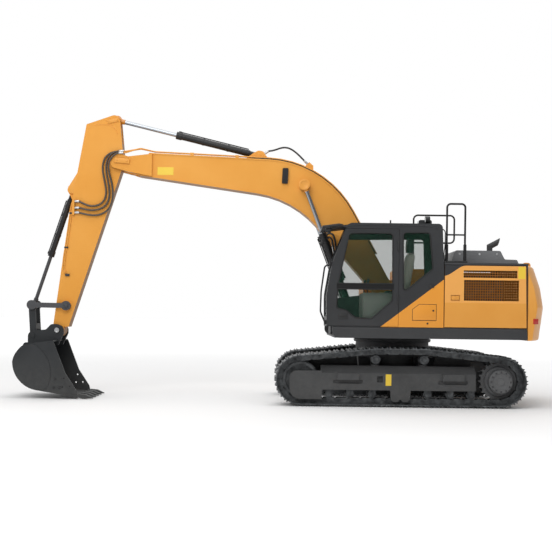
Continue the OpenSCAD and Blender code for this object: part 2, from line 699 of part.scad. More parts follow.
// Mitred pipe of the exhaust in X and Z, round a corner, with its mouth cut on the slant
module mitred(from, corner, to, y, r) {
  u = unit(corner - from);
  v = unit(to - corner);
  edge = unit(v - u) * 4 * r;
  step = unit(u + v) * 4 * r;
  difference() {
    bar(from, corner + u * 2 * r, y, r);
    slab([corner - edge, corner + edge, corner + edge + step, corner - edge + step], y - 2 * r, y + 2 * r);
  }
  difference() {
    bar(corner - v * 2 * r, to, y, r);
    slab([corner - edge, corner + edge, corner + edge - step, corner - edge - step], y - 2 * r, y + 2 * r);
  }
}
module exhaust() {
  foot = [pipe_x, hood_top];
  corner = foot + [0, 118];
  mouth = corner + [210, 112];
  color("#4a4a4b") difference() {
    mitred(foot, corner, mouth, pipe_y, pipe_r);
    mitred(foot + [0, 20], corner, mouth + [20, 10.7], pipe_y, pipe_r - pipe_t);
    slab([corner + [122, -20], corner + [180, 180], corner + [360, 180], corner + [360, -20]], pipe_y - 2 * pipe_r, pipe_y + 2 * pipe_r);
  }
}

// Side door of the engine bay, with the bottom edge on the skirt and a slanted rear edge
function door_face() = [[bay_front + 6, floor_z + 8], [deck_rear - 22, floor_z + 8], [deck_rear - 42, door_top], [bay_front + 6, door_top]];
// Grille of crossed bars: low and high corner of the opening
module grille(low, high) {
  count = [floor((high[0] - low[0]) / mesh), floor((high[1] - low[1]) / mesh)];
  pitch = [(high[0] - low[0]) / count[0], (high[1] - low[1]) / count[1]];
  for (i = [1 : count[0] - 1]) translate([low[0] + i * pitch[0] - mesh_bar / 2, low[1] - 1]) square([mesh_bar, high[1] - low[1] + 2]);
  for (i = [1 : count[1] - 1]) translate([low[0] - 1, low[1] + i * pitch[1] - mesh_bar / 2]) square([high[0] - low[0] + 2, mesh_bar]);
}
module left_door() {
  rows = [[[bay_front + 300, door_top - 195], [deck_rear - 177, door_top - 80]],
    [[bay_front + 308, floor_z + 430], [deck_rear - 150, door_top - 232]]];
  color("#de8f3b") {
    upright(-upper_half, panel_t - upper_half) difference() {
      polygon(door_face());
      for (r = rows) translate(r[0]) square(r[1] - r[0]);
      translate([bay_front + 102, floor_z + 428]) square([140, 86]);
    }
    upright(panel_t - upper_half - 8, panel_t - upper_half) translate([bay_front + 90, floor_z + 416]) square([164, 110]);
    upright(13 - upper_half, 19 - upper_half) for (r = rows) grille(r[0], r[1]);
  }
}
module right_door() {
  color("#de8f3b") difference() {
    slab(door_face(), upper_half - panel_t, upper_half);
    for (x = [bay_front + 130 : 300 : deck_rear - 330]) for (z = [floor_z + 480 : 70 : door_top - 130])
      translate([x, 0, z]) rotate([90, 0, 90]) linear_extrude(240)
        polygon([[upper_half - panel_t - 1, 14], [upper_half - panel_t - 1, -8], [upper_half + 1, -30], [upper_half + 1, -8]]);
  }
}

// Boxes on the right side, each with its own top
module side_box(corners) {
  color("#dd9345") slab(outline(corners), -cab_right, upper_half - 5);
}
module fuel_tank() {
  top = floor_z + fuel_h;
  side_box([[box_seam + 3, floor_z], [tank_seam - 3, floor_z], [tank_seam - 3, top, 20], [box_seam + 3, top, 120]]);
  color("#dd9345") translate([box_seam + 260, upper_half - 200, top - 2]) cylinder(r = 62, h = 46);
}
module oil_tank() {
  top = floor_z + oil_h;
  side_box([[tank_seam + 3, floor_z], [cab_rear + 3, floor_z], [cab_rear + 3, top], [tank_seam + 3, top, 50]]);
  color("#dd9345") translate([tank_seam + 150, upper_half - 420, top - 2]) cylinder(r = 48, h = 38);
}
module tool_box() {
  top = floor_z + box_h;
  color("#dd9345") slab([[deck_front + 20, floor_z], [box_seam - 3, floor_z], [box_seam - 3, top], [box_seam - 260, top],
    [box_seam - 260, top - box_h / 2], [deck_front + 40, top - box_h / 2]], -cab_right, upper_half - 5);
}

// Rails over the engine bay, and the grab rail on two pads before the cab
module handrails() {
  grab_y = 68 - upper_half;
  near = rail_in - upper_half;
  far = -near;
  bar_z = roof_top + rail_bar_h;
  left_top = roof_top + rail_left_h;
  right_top = roof_top + rail_right_h;
  color("#1c1d1e") {
    pipe([[rail_left[0], near, roof_top], [rail_left[0], near, left_top, rail_bend], [rail_left[1], near, left_top, rail_bend],
      [rail_left[1], near, roof_top]], rail_r);
    stick([rail_left[0], near, bar_z], [rail_left[1], near, bar_z], rail_r - 3);
    for (x = rail_left) translate([x, near, roof_top]) {
      cylinder(r = rail_r + 9, h = 295);
      cylinder(r = rail_r + 30, h = 12);
    }
    pipe([[rail_right[0], far, floor_z + oil_h], [rail_right[0], far, right_top, rail_bend + 20],
      [rail_right[1], far, right_top, rail_bend + 20], [rail_right[1], far, bar_z + 35, rail_bend + 20], [rail_right[0], far, bar_z + 35]], rail_r);
    stick([rail_right[1] - 140, far, roof_top], [rail_right[1] - 140, far, bar_z + 35], rail_r - 1);
    hose([for (p = bent([[cab_front + 60, floor_z + 980], [cab_front - 30, floor_z + 950, 60], [cab_front - 82, floor_z + 550, 300],
      [cab_front - 90, floor_z + 230, 120], [cab_front - 18, floor_z + 60]])) [p[0], grab_y, p[1]]], rail_r - 3);
    upright(grab_y - 22, grab_y + 22) difference() {
      for (pad = [[cab_front + 45, floor_z + 950], [cab_front - 30, floor_z + 30]]) translate(pad) square([60, 64]);
      offset(delta = seam) polygon(cab_side);
    }
  }
}

// Side outline of the cab: upright foot, bent windscreen, short roof and a leaning back
cab_side = outline([[cab_front + 8, floor_z], [cab_front, floor_z + 500, 700], [cab_front + 85, floor_z + 1000, 900],
  [cab_front + 330, cab_top, 110], [cab_rear - 30, cab_top, 70], [cab_rear, cab_top - 770], [cab_rear, floor_z]]);
door_low = floor_z + 12;
door_high = cab_top - 94;
door_pane = outline([[cab_front + 350, door_high - 65, 60], [door_seam - 100, door_high - 65, 60], [door_seam - 93, floor_z + 416, 50],
  [door_seam - 420, floor_z + 126, 70], [cab_front + 460, floor_z + 139, 50], [cab_front + 307, floor_z + 257, 60],
  [cab_front + 157, floor_z + 287, 40], [cab_front + 183, floor_z + 681, 500], [cab_front + 252, floor_z + 1012, 500]]);
rear_pane = outline([[door_seam + 64, cab_top - 147, 50], [cab_rear - 228, cab_top - 141, 60], [cab_rear - 176, floor_z + 921, 60],
  [door_seam + 75, floor_z + 538, 40]]);
right_pane = outline([[cab_front + 340, cab_top - 194, 60], [cab_rear - 185, cab_top - 174, 60], [cab_rear - 155, floor_z + 640, 60],
  [cab_front + 150, floor_z + 440, 60], [cab_front + 180, floor_z + 681, 0], [cab_front + 252, floor_z + 1012, 0]]);
belt_bar = [floor_z + belt_at, floor_z + belt_at + belt_w];
module pane_2d() {
  difference() {
    polygon(door_pane);
    translate([cab_front, belt_bar[0]]) square([cab_rear - cab_front, belt_w]);
  }
}
// Front and rear window, as blocks through the walls
module end_windows() {
  block([cab_front - 110, pillar - upper_half, floor_z + 160], [cab_front + 490, cab_right - pillar, cab_top - 194]);
  block([cab_rear - 95, pillar + 20 - upper_half, floor_z + 700], [cab_rear + 105, cab_right - pillar - 20, cab_top - 174]);
}
module cab_frame() {
  visor = [[cab_front - 80, cab_top - 94], [cab_front - 80, cab_top - 80], [cab_front + 350, cab_top - 22], [cab_front + 345, cab_top - 40]];
  lamp = outline([[cab_rear - 350, cab_top - 8], [cab_rear - 350, cab_top + 96, 30], [cab_rear - 139, cab_top + 96, 30], [cab_rear - 139, cab_top - 8]]);
  color("#4c4c4d") {
    difference() {
      slab(cab_side, -upper_half, cab_right);
      upright(cab_t - upper_half, cab_right - cab_t) offset(delta = -cab_t) polygon(cab_side);
      slab(rear_pane, -upper_half - 1, cab_t + 1 - upper_half);
      slab(right_pane, cab_right - cab_t - 1, cab_right + 1);
      end_windows();
      block([cab_front - 110, -upper_half - 1, door_low - door_gap], [door_seam + door_gap, cab_t + 0.5 - upper_half, door_high + door_gap]);
      upright(-upper_half - 1, 4 - upper_half) difference() {
        offset(delta = 5) polygon(hatch_side);
        polygon(hatch_side);
      }
    }
    slab(visor, 55 - upper_half, cab_right - 45);
    slab(lamp, cab_mid - 60, cab_mid + 60);
  }
}
// Tool hatch low on the cab's side
hatch_side = outline([[door_seam + 228, floor_z + 108, 15], [cab_rear - 120, floor_z + 108, 15], [cab_rear - 120, floor_z + 360, 15],
  [door_seam + 330, floor_z + 360, 15], [door_seam + 228, floor_z + 280, 15]]);
module cab_glass() {
  color("#a5b9af") {
    slab(rear_pane, pane_in - upper_half, pane_in + pane_t - upper_half);
    slab(right_pane, cab_right - pane_in - pane_t, cab_right - pane_in);
    intersection() {
      upright(pillar - upper_half, cab_right - pillar) difference() {
        offset(delta = -pane_in) polygon(cab_side);
        offset(delta = -pane_in - pane_t) polygon(cab_side);
      }
      end_windows();
    }
  }
}
module cab_door() {
  color("#4c4c4d") upright(-upper_half, cab_t - upper_half) difference() {
    intersection() {
      polygon(cab_side);
      translate([cab_front - 110, door_low]) square([door_seam - cab_front + 110, door_high - door_low]);
    }
    pane_2d();
  }
}
module door_glass() {
  color("#a5b9af") upright(pane_in - upper_half, pane_in + pane_t - upper_half) pane_2d();
}
// Chair on its pedestal between two consoles
module operator_chair() {
  low = floor_z + cab_t;
  seat = low + 255;
  out = cab_room - 75;
  half = chair_w / 2;
  color("#2a2b2c") translate([0, cab_mid, 0]) {
    block([-390, 65 - half, low], [10, half - 65, seat + 5]);
    slab(outline([[-490, seat, 50], [60, seat], [60, seat + 120], [-490, seat + 140, 60]]), -half, half);
    slab(outline([[-20, seat + 40], [110, seat + 40, 60], [245, seat + 900, 50], [130, seat + 900, 40]]), 10 - half, half - 10);
    slab(outline([[112, seat + 885, 20], [235, seat + 885, 20], [231, seat + 1120, 40], [117, seat + 1120, 40]]), 115 - half, half - 115);
    for (y = [-out, out - console_w])
      slab(outline([[-610, low], [-130, low], [-130, seat + 230, 40], [-550, seat + 250, 60], [-610, seat + 180, 60]]), y, y + console_w);
  }
}

// Boom drawn from its foot pin: straight back, one large bend, tapered to the nose
boom_top = from_pin(boom_pin, [[-4090, 2412], [-1115, 2288, 1700], [115, 75, 60]]);
boom_side = outline(concat(boom_top, from_pin(boom_pin, [ [-120, -70, 60], [-1655, 1666, 1660], [-4262, 2031], [-4360, 2060]])));
boom_nose = outline(from_pin(nose_pin, [[553, 120], [150, 70, 60], [10, 120, 60], [-140, 90, 90], [-140, -110, 90], [164, -189, 200], [553, -259]]));
// Centre line of a pipe along the boom's back, from the nose to near the foot, drawn in to its place across the boom
function boom_line(y, nose_y, nose_z) =
  let(rise = nose_pin + [360, 205], flat = boom_pin + [-4000, 2408 + line_up])
  [for (p = bent([nose_pin + [73, nose_z], nose_pin + [113, nose_z], [rise[0], rise[1], 160], [flat[0], flat[1], 260],
    [boom_top[1][0] + 0.52 * line_up, boom_top[1][1] + line_up, boom_top[1][2] + line_up],
    boom_pin + [0.87 * line_up - 255, 0.49 * line_up + 741]]))
    let(t = max(0, min(1, (p[0] - rise[0]) / (flat[0] - rise[0])))) [p[0], nose_y * (1 - t) + y * t, p[1]]];
line_y = [for (i = [0 : 2]) -boom_half + 3 + i * line_pitch];
hose_start = [[-228, 124], [-185, 159], [-145, 159]];
module boom() {
  bracket = outline(from_pin(crowd_foot, [[-251, -89], [-91, 31, 60], [0, 80, 75], [79, 61, 30], [119, 1, 30], [209, -109]]));
  port = from_pin(boom_pin, [[-1450, 2240], [-1390, 2300], [-1320, 2240], [-1320, 2100], [-1460, 2170]]);
  color("#e7a057") difference() {
    union() {
      slab(boom_side, -boom_half, boom_half);
      upright(-boom_half - flange, boom_half + flange) difference() {
        polygon(boom_side);
        offset(delta = -boom_t) polygon(boom_side);
      }
      bar_y(boom_pin, 130, -boom_half - flange, boom_half + flange);
      slabs(boom_nose, arm_half + run, nose_half);
      slabs(bracket, 65, 98);
      slab(port, -98, -65);
      bar_y(nose_pin, pin_r, -nose_half - 14, nose_half + 14);
      slabs(outline(from_pin(nose_pin, [[-75, -45, 20], [75, -45, 20], [75, 45, 20], [-75, 45, 20]])), nose_half - 5, nose_half + 8);
      bar_y(lift_head, 95, 46 - lift_y, lift_y - 46);
      bar_y(crowd_foot, pin_r - 8, -108, 108);
    }
    upright(boom_t - boom_half, boom_half - boom_t) difference() {
      offset(delta = -boom_t) polygon(boom_side);
      translate(boom_pin) circle(r = 110);
    }
    block([nose_pin[0] - 347, -arm_half - run, nose_pin[1] - 391], [nose_pin[0] + 323, arm_half + run, nose_pin[1] - 91]);
    bar_y(boom_pin, pin_r + fit, -300, 300);
  }
}
module boom_lines() {
  slope = (boom_top[1][1] - boom_top[0][1]) / (boom_top[1][0] - boom_top[0][0]);
  color("#e7a057") {
    for (i = [0 : 2]) hose(boom_line(line_y[i], hose_start[i][0], hose_start[i][1]), line_r);
    for (x = [-3400, -2640]) translate([0, 0, boom_top[0][1] - slope * (boom_top[0][0] - boom_pin[0] - x)])
      slab([for (p = [[0, seam], [60, seam], [60, line_up + line_r + 6], [0, line_up + line_r + 6]])
        [boom_pin[0] + x + p[0], p[0] * slope + p[1]]], line_y[0] - line_r - 4, line_y[2] + line_r + 4);
  }
}
module boom_lamp() {
  color("#222324") slab(outline(from_pin(boom_pin, [[-1850, 1920, 20], [-1750, 1920, 20], [-1740, 2180, 20], [-1840, 2180, 20]])),
    -boom_half - 40, -boom_half);
}

// Barrel with a round foot, gland, two straps and a pipe beside it on the turned side
module barrel(from, to, len_mm, r, rod_r, y, eye_half, hole_r, turned) {
  gland = along(from, to, len_mm);
  u = unit(to - from);
  off = turned * [-u[1], u[0]] * (r + feed_r + 4);
  difference() {
    union() {
      bar_y(from, hole_r + 30, y - eye_half, y + eye_half);
      bar(along(from, to, hole_r + 8), along(from, to, stem + 20), y, min(eye_half - 2, r - 10));
      bar(along(from, to, stem), gland, y, r);
      bar(along(from, to, len_mm - 95), gland, y, r + 9);
      for (s = [0.36, 0.66]) bar(along(from, to, len_mm * s), along(from, to, len_mm * s + 34), y, r + 4);
      slab([along(from, to, len_mm - 78), along(from, to, len_mm - 30), along(from, to, len_mm - 30) + off * 1.15,
        along(from, to, len_mm - 78) + off * 1.15], y - 20, y + 20);
      for (s = [0.36, 0.66]) slab([along(from, to, len_mm * s), along(from, to, len_mm * s + 34), along(from, to, len_mm * s + 34) + off,
        along(from, to, len_mm * s) + off], y - 14, y + 14);
      bar(along(from, to, stem + 30) + off, along(from, to, len_mm - 40) + off, y, feed_r);
    }
    bar_y(from, hole_r + fit, y - eye_half - 1, y + eye_half + 1);
    bar(along(from, to, stem + 15), along(from, to, len_mm + 1), y, rod_r + 1);
  }
}
module rod(from, to, start, rod_r, y, eye_r, eye_half) {
  bar(along(from, to, start), along(from, to, norm(to - from) - eye_r + 12), y, rod_r);
  bar(along(from, to, norm(to - from) - eye_r - 50), along(from, to, norm(to - from) - eye_r + 12), y, rod_r + 8);
  bar_y(to, eye_r, y - eye_half, y + eye_half);
}
module boom_barrels() {
  color("#333232") for (side = [-1, 1])
    barrel(lift_foot, lift_head, lift_barrel, lift_r, lift_rod_r, side * lift_y, 40, pin_r - 5, 1);
}
module boom_rods() {
  color("#c9cacb") for (side = [-1, 1]) rod(lift_foot, lift_head, lift_start, lift_rod_r, side * lift_y, 85, 40);
}
module arm_barrel() {
  color("#333232") barrel(crowd_foot, crowd_head, crowd_barrel, crowd_r, crowd_rod_r, 0, 59, pin_r - 8, -1);
}
module arm_rod() {
  color("#c9cacb") rod(crowd_foot, crowd_head, crowd_start, crowd_rod_r, 0, 75, 50);
}
module bucket_barrel() {
  color("#333232") barrel(curl_foot, knuckle, curl_barrel, curl_r, curl_rod_r, 0, 53, pin_r - 10, -1);
}
module bucket_rod() {
  color("#55565a") {
    rod(curl_foot, knuckle, curl_start, curl_rod_r, 0, 70, 50);
    bar_y(knuckle, pin_r - 10, -arm_half - 2, arm_half + 2);
  }
}

// Arm drawn from the nose pin: head, long tapering back and a straight front
arm_side = outline(from_pin(nose_pin, [[-570, 617, 15], [-15, 812, 100], [68, -41, 200], [-831, -2811], [-1092, -2801], [-852, -972, 800]]));
module arm() {
  head = from_pin(nose_pin, [[-347, 309], [-507, 569], [-247, 909], [153, 909], [153, 309]]);
  bracket = outline(from_pin(curl_foot, [[31, 109], [-64, 79, 40], [-89, -1, 60], [-44, -71, 40], [16, -191]]));
  manifold = outline(from_pin(nose_pin, [[-747, -921, 8], [-747, -661, 8], [-787, -661, 8], [-787, -921, 8]]));
  color("#df9246") difference() {
    union() {
      difference() {
        union() {
          slab(arm_side, -arm_half, arm_half);
          bar_y(bucket_pin, 110, -arm_half, arm_half);
        }
        bar_y(curl_foot, pin_r + 35, -58, 58);
      }
      slabs(bracket, 58, 85);
      slab(manifold, -arm_half - 50, 5 - arm_half);
      bar_y(curl_foot, pin_r - 10, -92, 92);
      bar_y(guide_pin, pin_r - 8, -ear_y - link_plate - 10, ear_y + link_plate + 10);
      bar_y(guide_pin, 75, 3 - ear_y, ear_y - 3);
    }
    upright(arm_t - arm_half, arm_half - arm_t) difference() {
      offset(delta = -arm_t) polygon(arm_side);
      for (p = [nose_pin, bucket_pin]) translate(p) circle(r = 95);
    }
    slab(head, -60, 60);
    for (p = [nose_pin, bucket_pin]) bar_y(p, pin_r + fit, -300, 300);
  }
}

// Waisted plates between guide pin and knuckle
module guide_links() {
  side = unit([guide_pin[1] - knuckle[1], knuckle[0] - guide_pin[0]]) * link_waist;
  color("#55565a") difference() {
    for (y = [-ear_y - link_plate, ear_y]) {
      slab([guide_pin - side, guide_pin + side, knuckle + side, knuckle - side], y, y + link_plate);
      for (p = [guide_pin, knuckle]) bar_y(p, 80, y, y + link_plate);
    }
    bar_y(guide_pin, pin_r - 8 + fit, -300, 300);
  }
}
module bucket_link() {
  in = arm_half + run;
  side = unit([link_pin[1] - knuckle[1], knuckle[0] - link_pin[0]]) * 56;
  middle = (link_pin * 0.7 + knuckle * 0.3);
  color("#55565a") difference() {
    union() {
      slabs([link_pin - side, link_pin + side, knuckle + side, knuckle - side], in, in + link_plate);
      bars_y(knuckle, 72, in, in + link_plate);
      bar_y(link_pin, 74, -in - link_plate, in + link_plate);
      block([middle[0] - 55, -in - 2, middle[1] - 50], [middle[0] + 55, in + 2, middle[1] + 50]);
    }
    bar_y(link_pin, pin_r - 8 + fit, -300, 300);
  }
}

// Bucket drawn from its pin: back rolled to one radius, straight floor and an open mouth
back_c = bucket_pin + [-174, -519];
lip = bucket_pin + [393, -1092];
bucket_back = concat(outline(from_pin(bucket_pin, [[16, -164], [-383, -219], [-464, -245, 40], [-648, -480, 30]])),
  [for (a = [180 : 6 : 264]) back_c + bucket_r * [cos(a), sin(a)]], [lip]);
bucket_mouth = from_pin(bucket_pin, [[434, -1064], [411, -981], [225, -700]]);
module bucket() {
  floor_dir = unit(lip - (back_c + bucket_r * [cos(264), sin(264)]));
  ear = outline(from_pin(bucket_pin, [[-489, -254], [-489, -70, 80], [-420, -10, 80], [-189, 6, 60], [-99, 101, 60],
    [0, 101, 100], [111, 60, 90], [111, -60, 90], [21, -254]]));
  cutter = from_pin(bucket_pin, [[30, -190], [-70, -205], [138, -720], [330, -1030], [411, -1050], [411, -981], [225, -700]]);
  hook = outline(from_pin(bucket_pin, [[-440, -274], [-499, -224, 20], [-584, -214, 60], [-630, -269, 60], [-609, -344, 40], [-539, -384]]));
  color("#464749") difference() {
    union() {
      difference() {
        slab(concat(bucket_back, bucket_mouth), -bucket_half, bucket_half);
        upright(bucket_t - bucket_half, bucket_half - bucket_t) offset(delta = -bucket_t)
          polygon(concat(bucket_back, [lip + floor_dir * 400, bucket_pin + [500, -97]]));
      }
      slabs(cutter, bucket_half - 2, bucket_half + cutter_t);
      for (y = [-430, -150, 150, 430]) upright(y - wear_w / 2, y + wear_w / 2) difference() {
        polygon(concat([for (a = [192 : 7.5 : 262]) back_c + (bucket_r + wear_t) * [cos(a), sin(a)]],
          [for (a = [264 : -6 : 190]) back_c + (bucket_r - 5) * [cos(a), sin(a)]]));
      }
      slabs(ear, ear_y, ear_y + ear_t);
      slab(hook, -hook_t / 2, hook_t / 2);
      bar_y(bucket_pin, pin_r, -ear_y - ear_t - 14, ear_y + ear_t + 14);
      bar_y(link_pin, pin_r - 8, -ear_y - ear_t - 14, ear_y + ear_t + 14);
    }
    bar_y(hook_at, hook_r, -hook_t, hook_t);
    for (p = [[203, -789], [178, -928], [297, -922]]) bar_y(bucket_pin + p, 13, -bucket_half - 20, bucket_half + 20);
  }
}
// Teeth that narrow from the lip to the tip
module bucket_teeth() {
  tip = from_pin(bucket_pin, [[434, -1064], [393, -1092], [521, -1116], [681, -1112], [686, -1104], [561, -1049], [446, -1039]]);
  out = bucket_half - tooth_w / 2;
  color("#464749") for (i = [0 : teeth - 1]) translate([0, out * (2 * i / (teeth - 1) - 1), 0]) intersection() {
    slab(tip, -tooth_w / 2, tooth_w / 2);
    translate([bucket_pin[0], 0, 0]) linear_extrude(200) polygon([[380, -tooth_w / 2], [560, -tooth_w / 2], [690, -tooth_w / 4],
      [690, tooth_w / 4], [560, tooth_w / 2], [380, tooth_w / 2]]);
  }
}

// Three hoses from the boom's nose to the arm and two at the arm cylinder's foot
function at_nose(route) = [for (p = route) [nose_pin[0] + p[0], p[1], nose_pin[1] + p[2]]];
function at_foot(y, route) = [for (p = route) [boom_pin[0] + p[0], y, boom_pin[1] + p[1]]];
arm_hoses = [
  [[73 - seam, -145, 159], [23, -145, 159], [-27, -146, 159], [-137, -150, 134], [-227, -152, 69], [-272, -152, -31],
    [-282, -152, -141], [-267, -152, -251], [-242, -152, -371], [-222, -152, -491], [-227, -152, -591], [-262, -152, -681],
    [-332, -152, -741], [-422, -152, -766], [-517, -152, -760], [-607, -152, -725], [-687, -152, -691], [seam - 747, -152, -691]],
  [[73 - seam, -185, 159], [23, -185, 159], [-27, -184, 154], [-117, -178, 119], [-182, -168, 49], [-215, -160, -41],
    [-222, -154, -141], [-209, -152, -251], [-185, -152, -371], [-167, -152, -491], [-165, -152, -591], [-187, -152, -686],
    [-242, -152, -766], [-327, -152, -816], [-427, -152, -836], [-527, -152, -832], [-617, -152, -812], [-687, -152, -801],
    [seam - 747, -152, -801]],
  [[73 - seam, -228, 124], [23, -228, 124], [-27, -228, 113], [-96, -228, 70], [-150, -226, -4], [-174, -205, -96],
    [-170, -176, -191], [-148, -156, -291], [-122, -152, -401], [-109, -152, -511], [-109, -152, -621], [-132, -152, -726],
    [-185, -152, -821], [-267, -152, -886], [-362, -152, -919], [-462, -152, -922], [-607, -152, -898], [-687, -152, -881],
    [seam - 747, -152, -881]]];
crowd_hose = [[-1420.2, 2270.2], [-1485, 2335], [-1555, 2405], [-1630, 2470], [-1705, 2518], [-1785, 2542], [-1870, 2535],
  [-1950, 2508], [-2020, 2488], [-2085, 2476], [-2143, 2438]];
module hoses() {
  color("#181818") {
    for (route = arm_hoses) hose(at_nose(route), hose_r);
    hose(at_foot(-81.5, crowd_hose), hose_r - 1);
  }
}

translate([slew_x, 0, 0]) {
  car_body();
  slew_ring();
  track_frame_left();
  track_frame_right();
  track_left();
  track_right();
  sprocket_left();
  sprocket_right();
  idler_left();
  idler_right();
  rollers_left();
  rollers_right();
  swing_frame();
  skirts();
  counterweight();
  bay_frame();
  engine_block();
  engine_hood();
  exhaust();
  left_door();
  right_door();
  fuel_tank();
  oil_tank();
  tool_box();
  handrails();
  cab_frame();
  cab_glass();
  cab_door();
  door_glass();
  operator_chair();
  boom();
  boom_lines();
  boom_lamp();
  boom_barrels();
  boom_rods();
  arm_barrel();
  arm_rod();
  arm();
  bucket_barrel();
  bucket_rod();
  guide_links();
  bucket_link();
  bucket();
  bucket_teeth();
  hoses();
}
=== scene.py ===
import json
import math

import bpy
from mathutils import Matrix, Vector

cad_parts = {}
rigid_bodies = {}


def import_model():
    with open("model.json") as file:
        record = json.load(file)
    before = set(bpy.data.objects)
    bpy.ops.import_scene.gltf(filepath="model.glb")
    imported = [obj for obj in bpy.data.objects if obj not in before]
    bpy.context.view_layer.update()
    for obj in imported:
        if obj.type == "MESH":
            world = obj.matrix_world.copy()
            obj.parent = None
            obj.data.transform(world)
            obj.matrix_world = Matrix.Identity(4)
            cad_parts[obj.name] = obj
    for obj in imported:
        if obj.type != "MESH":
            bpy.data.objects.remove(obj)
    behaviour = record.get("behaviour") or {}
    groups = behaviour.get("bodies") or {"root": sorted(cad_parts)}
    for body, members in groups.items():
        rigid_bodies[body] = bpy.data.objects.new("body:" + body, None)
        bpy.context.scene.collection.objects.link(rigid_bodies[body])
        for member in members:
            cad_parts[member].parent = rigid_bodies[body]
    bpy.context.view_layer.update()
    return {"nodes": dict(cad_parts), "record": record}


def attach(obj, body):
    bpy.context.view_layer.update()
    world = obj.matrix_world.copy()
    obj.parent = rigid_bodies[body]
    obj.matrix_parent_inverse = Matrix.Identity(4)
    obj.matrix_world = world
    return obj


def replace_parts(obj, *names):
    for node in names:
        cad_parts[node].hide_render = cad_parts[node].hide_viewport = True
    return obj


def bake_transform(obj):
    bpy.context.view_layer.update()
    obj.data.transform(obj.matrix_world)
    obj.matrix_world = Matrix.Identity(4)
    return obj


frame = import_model()
nodes = frame["nodes"]
scene = bpy.context.scene
slewX = 1.92  # the slew axis in the frame, m
cabMid = -0.795  # middle of the cab across the machine, m
# pins in X and Z, m from the slew axis
boomPin = (-0.060, 1.720)
nosePin = (-4.653, 3.991)
liftPin = (-1.532, 3.612)
crowdPin = (-4.712, 4.699)
guidePin = (-5.52, 1.537)
bucketPin = (-5.661, 1.124)
sides = ((-1, "Left"), (1, "Right"))
print("frame loaded:", len(nodes), "nodes")


# place in the frame from metres measured from the slew axis
def spot(x, y, z):
    return Vector((x + slewX, y, z))


# sRGB hex code to the linear values that the shaders take
def hexColor(code):
    parts = [int(code[i:i + 2], 16) / 255 for i in (1, 3, 5)]
    return [c / 12.92 if c <= 0.04045 else ((c + 0.055) / 1.055) ** 2.4 for c in parts] + [1.0]


# adds one node; an input that is given a socket is linked, any other value is set
def addNode(tree, kind, inputs=None, **settings):
    made = tree.nodes.new(kind)
    for key, value in settings.items():
        setattr(made, key, value)
    for key, value in (inputs or {}).items():
        if isinstance(value, bpy.types.NodeSocket):
            tree.links.new(value, made.inputs[key])
        else:
            made.inputs[key].default_value = value
    return made


# empty material, and the object's own coordinates to draw patterns on
def startMaterial(name):
    material = bpy.data.materials.new(name)
    material.use_nodes = True
    tree = material.node_tree
    tree.nodes.clear()
    coords = addNode(tree, "ShaderNodeTexCoord").outputs["Object"]
    return material, tree, coords


# shows a shader on the material's surface
def finishMaterial(material, shader):
    addNode(material.node_tree, "ShaderNodeOutputMaterial", {"Surface": shader.outputs["BSDF"]})
    return material


# sprayed enamel: soft light and dark patches, dust that thins out with height, painted shade in dark brown on
# faces turned one way, and an orange-peel skin drawn at 8 mm, coarser than a real one, so that it shows
sprayed = dict(patchEnds=(0.32, 0.68), dust="#85837e", speckScale=14.0, paintedShade="#5b3c1e",
               paintedShadeTurn=(0.45, 0.8), paintedShadeCover=0.8, glossSpread=(-0.06, 0.1), peelScale=120.0,
               peelDepth=0.002, coatRough=0.12)
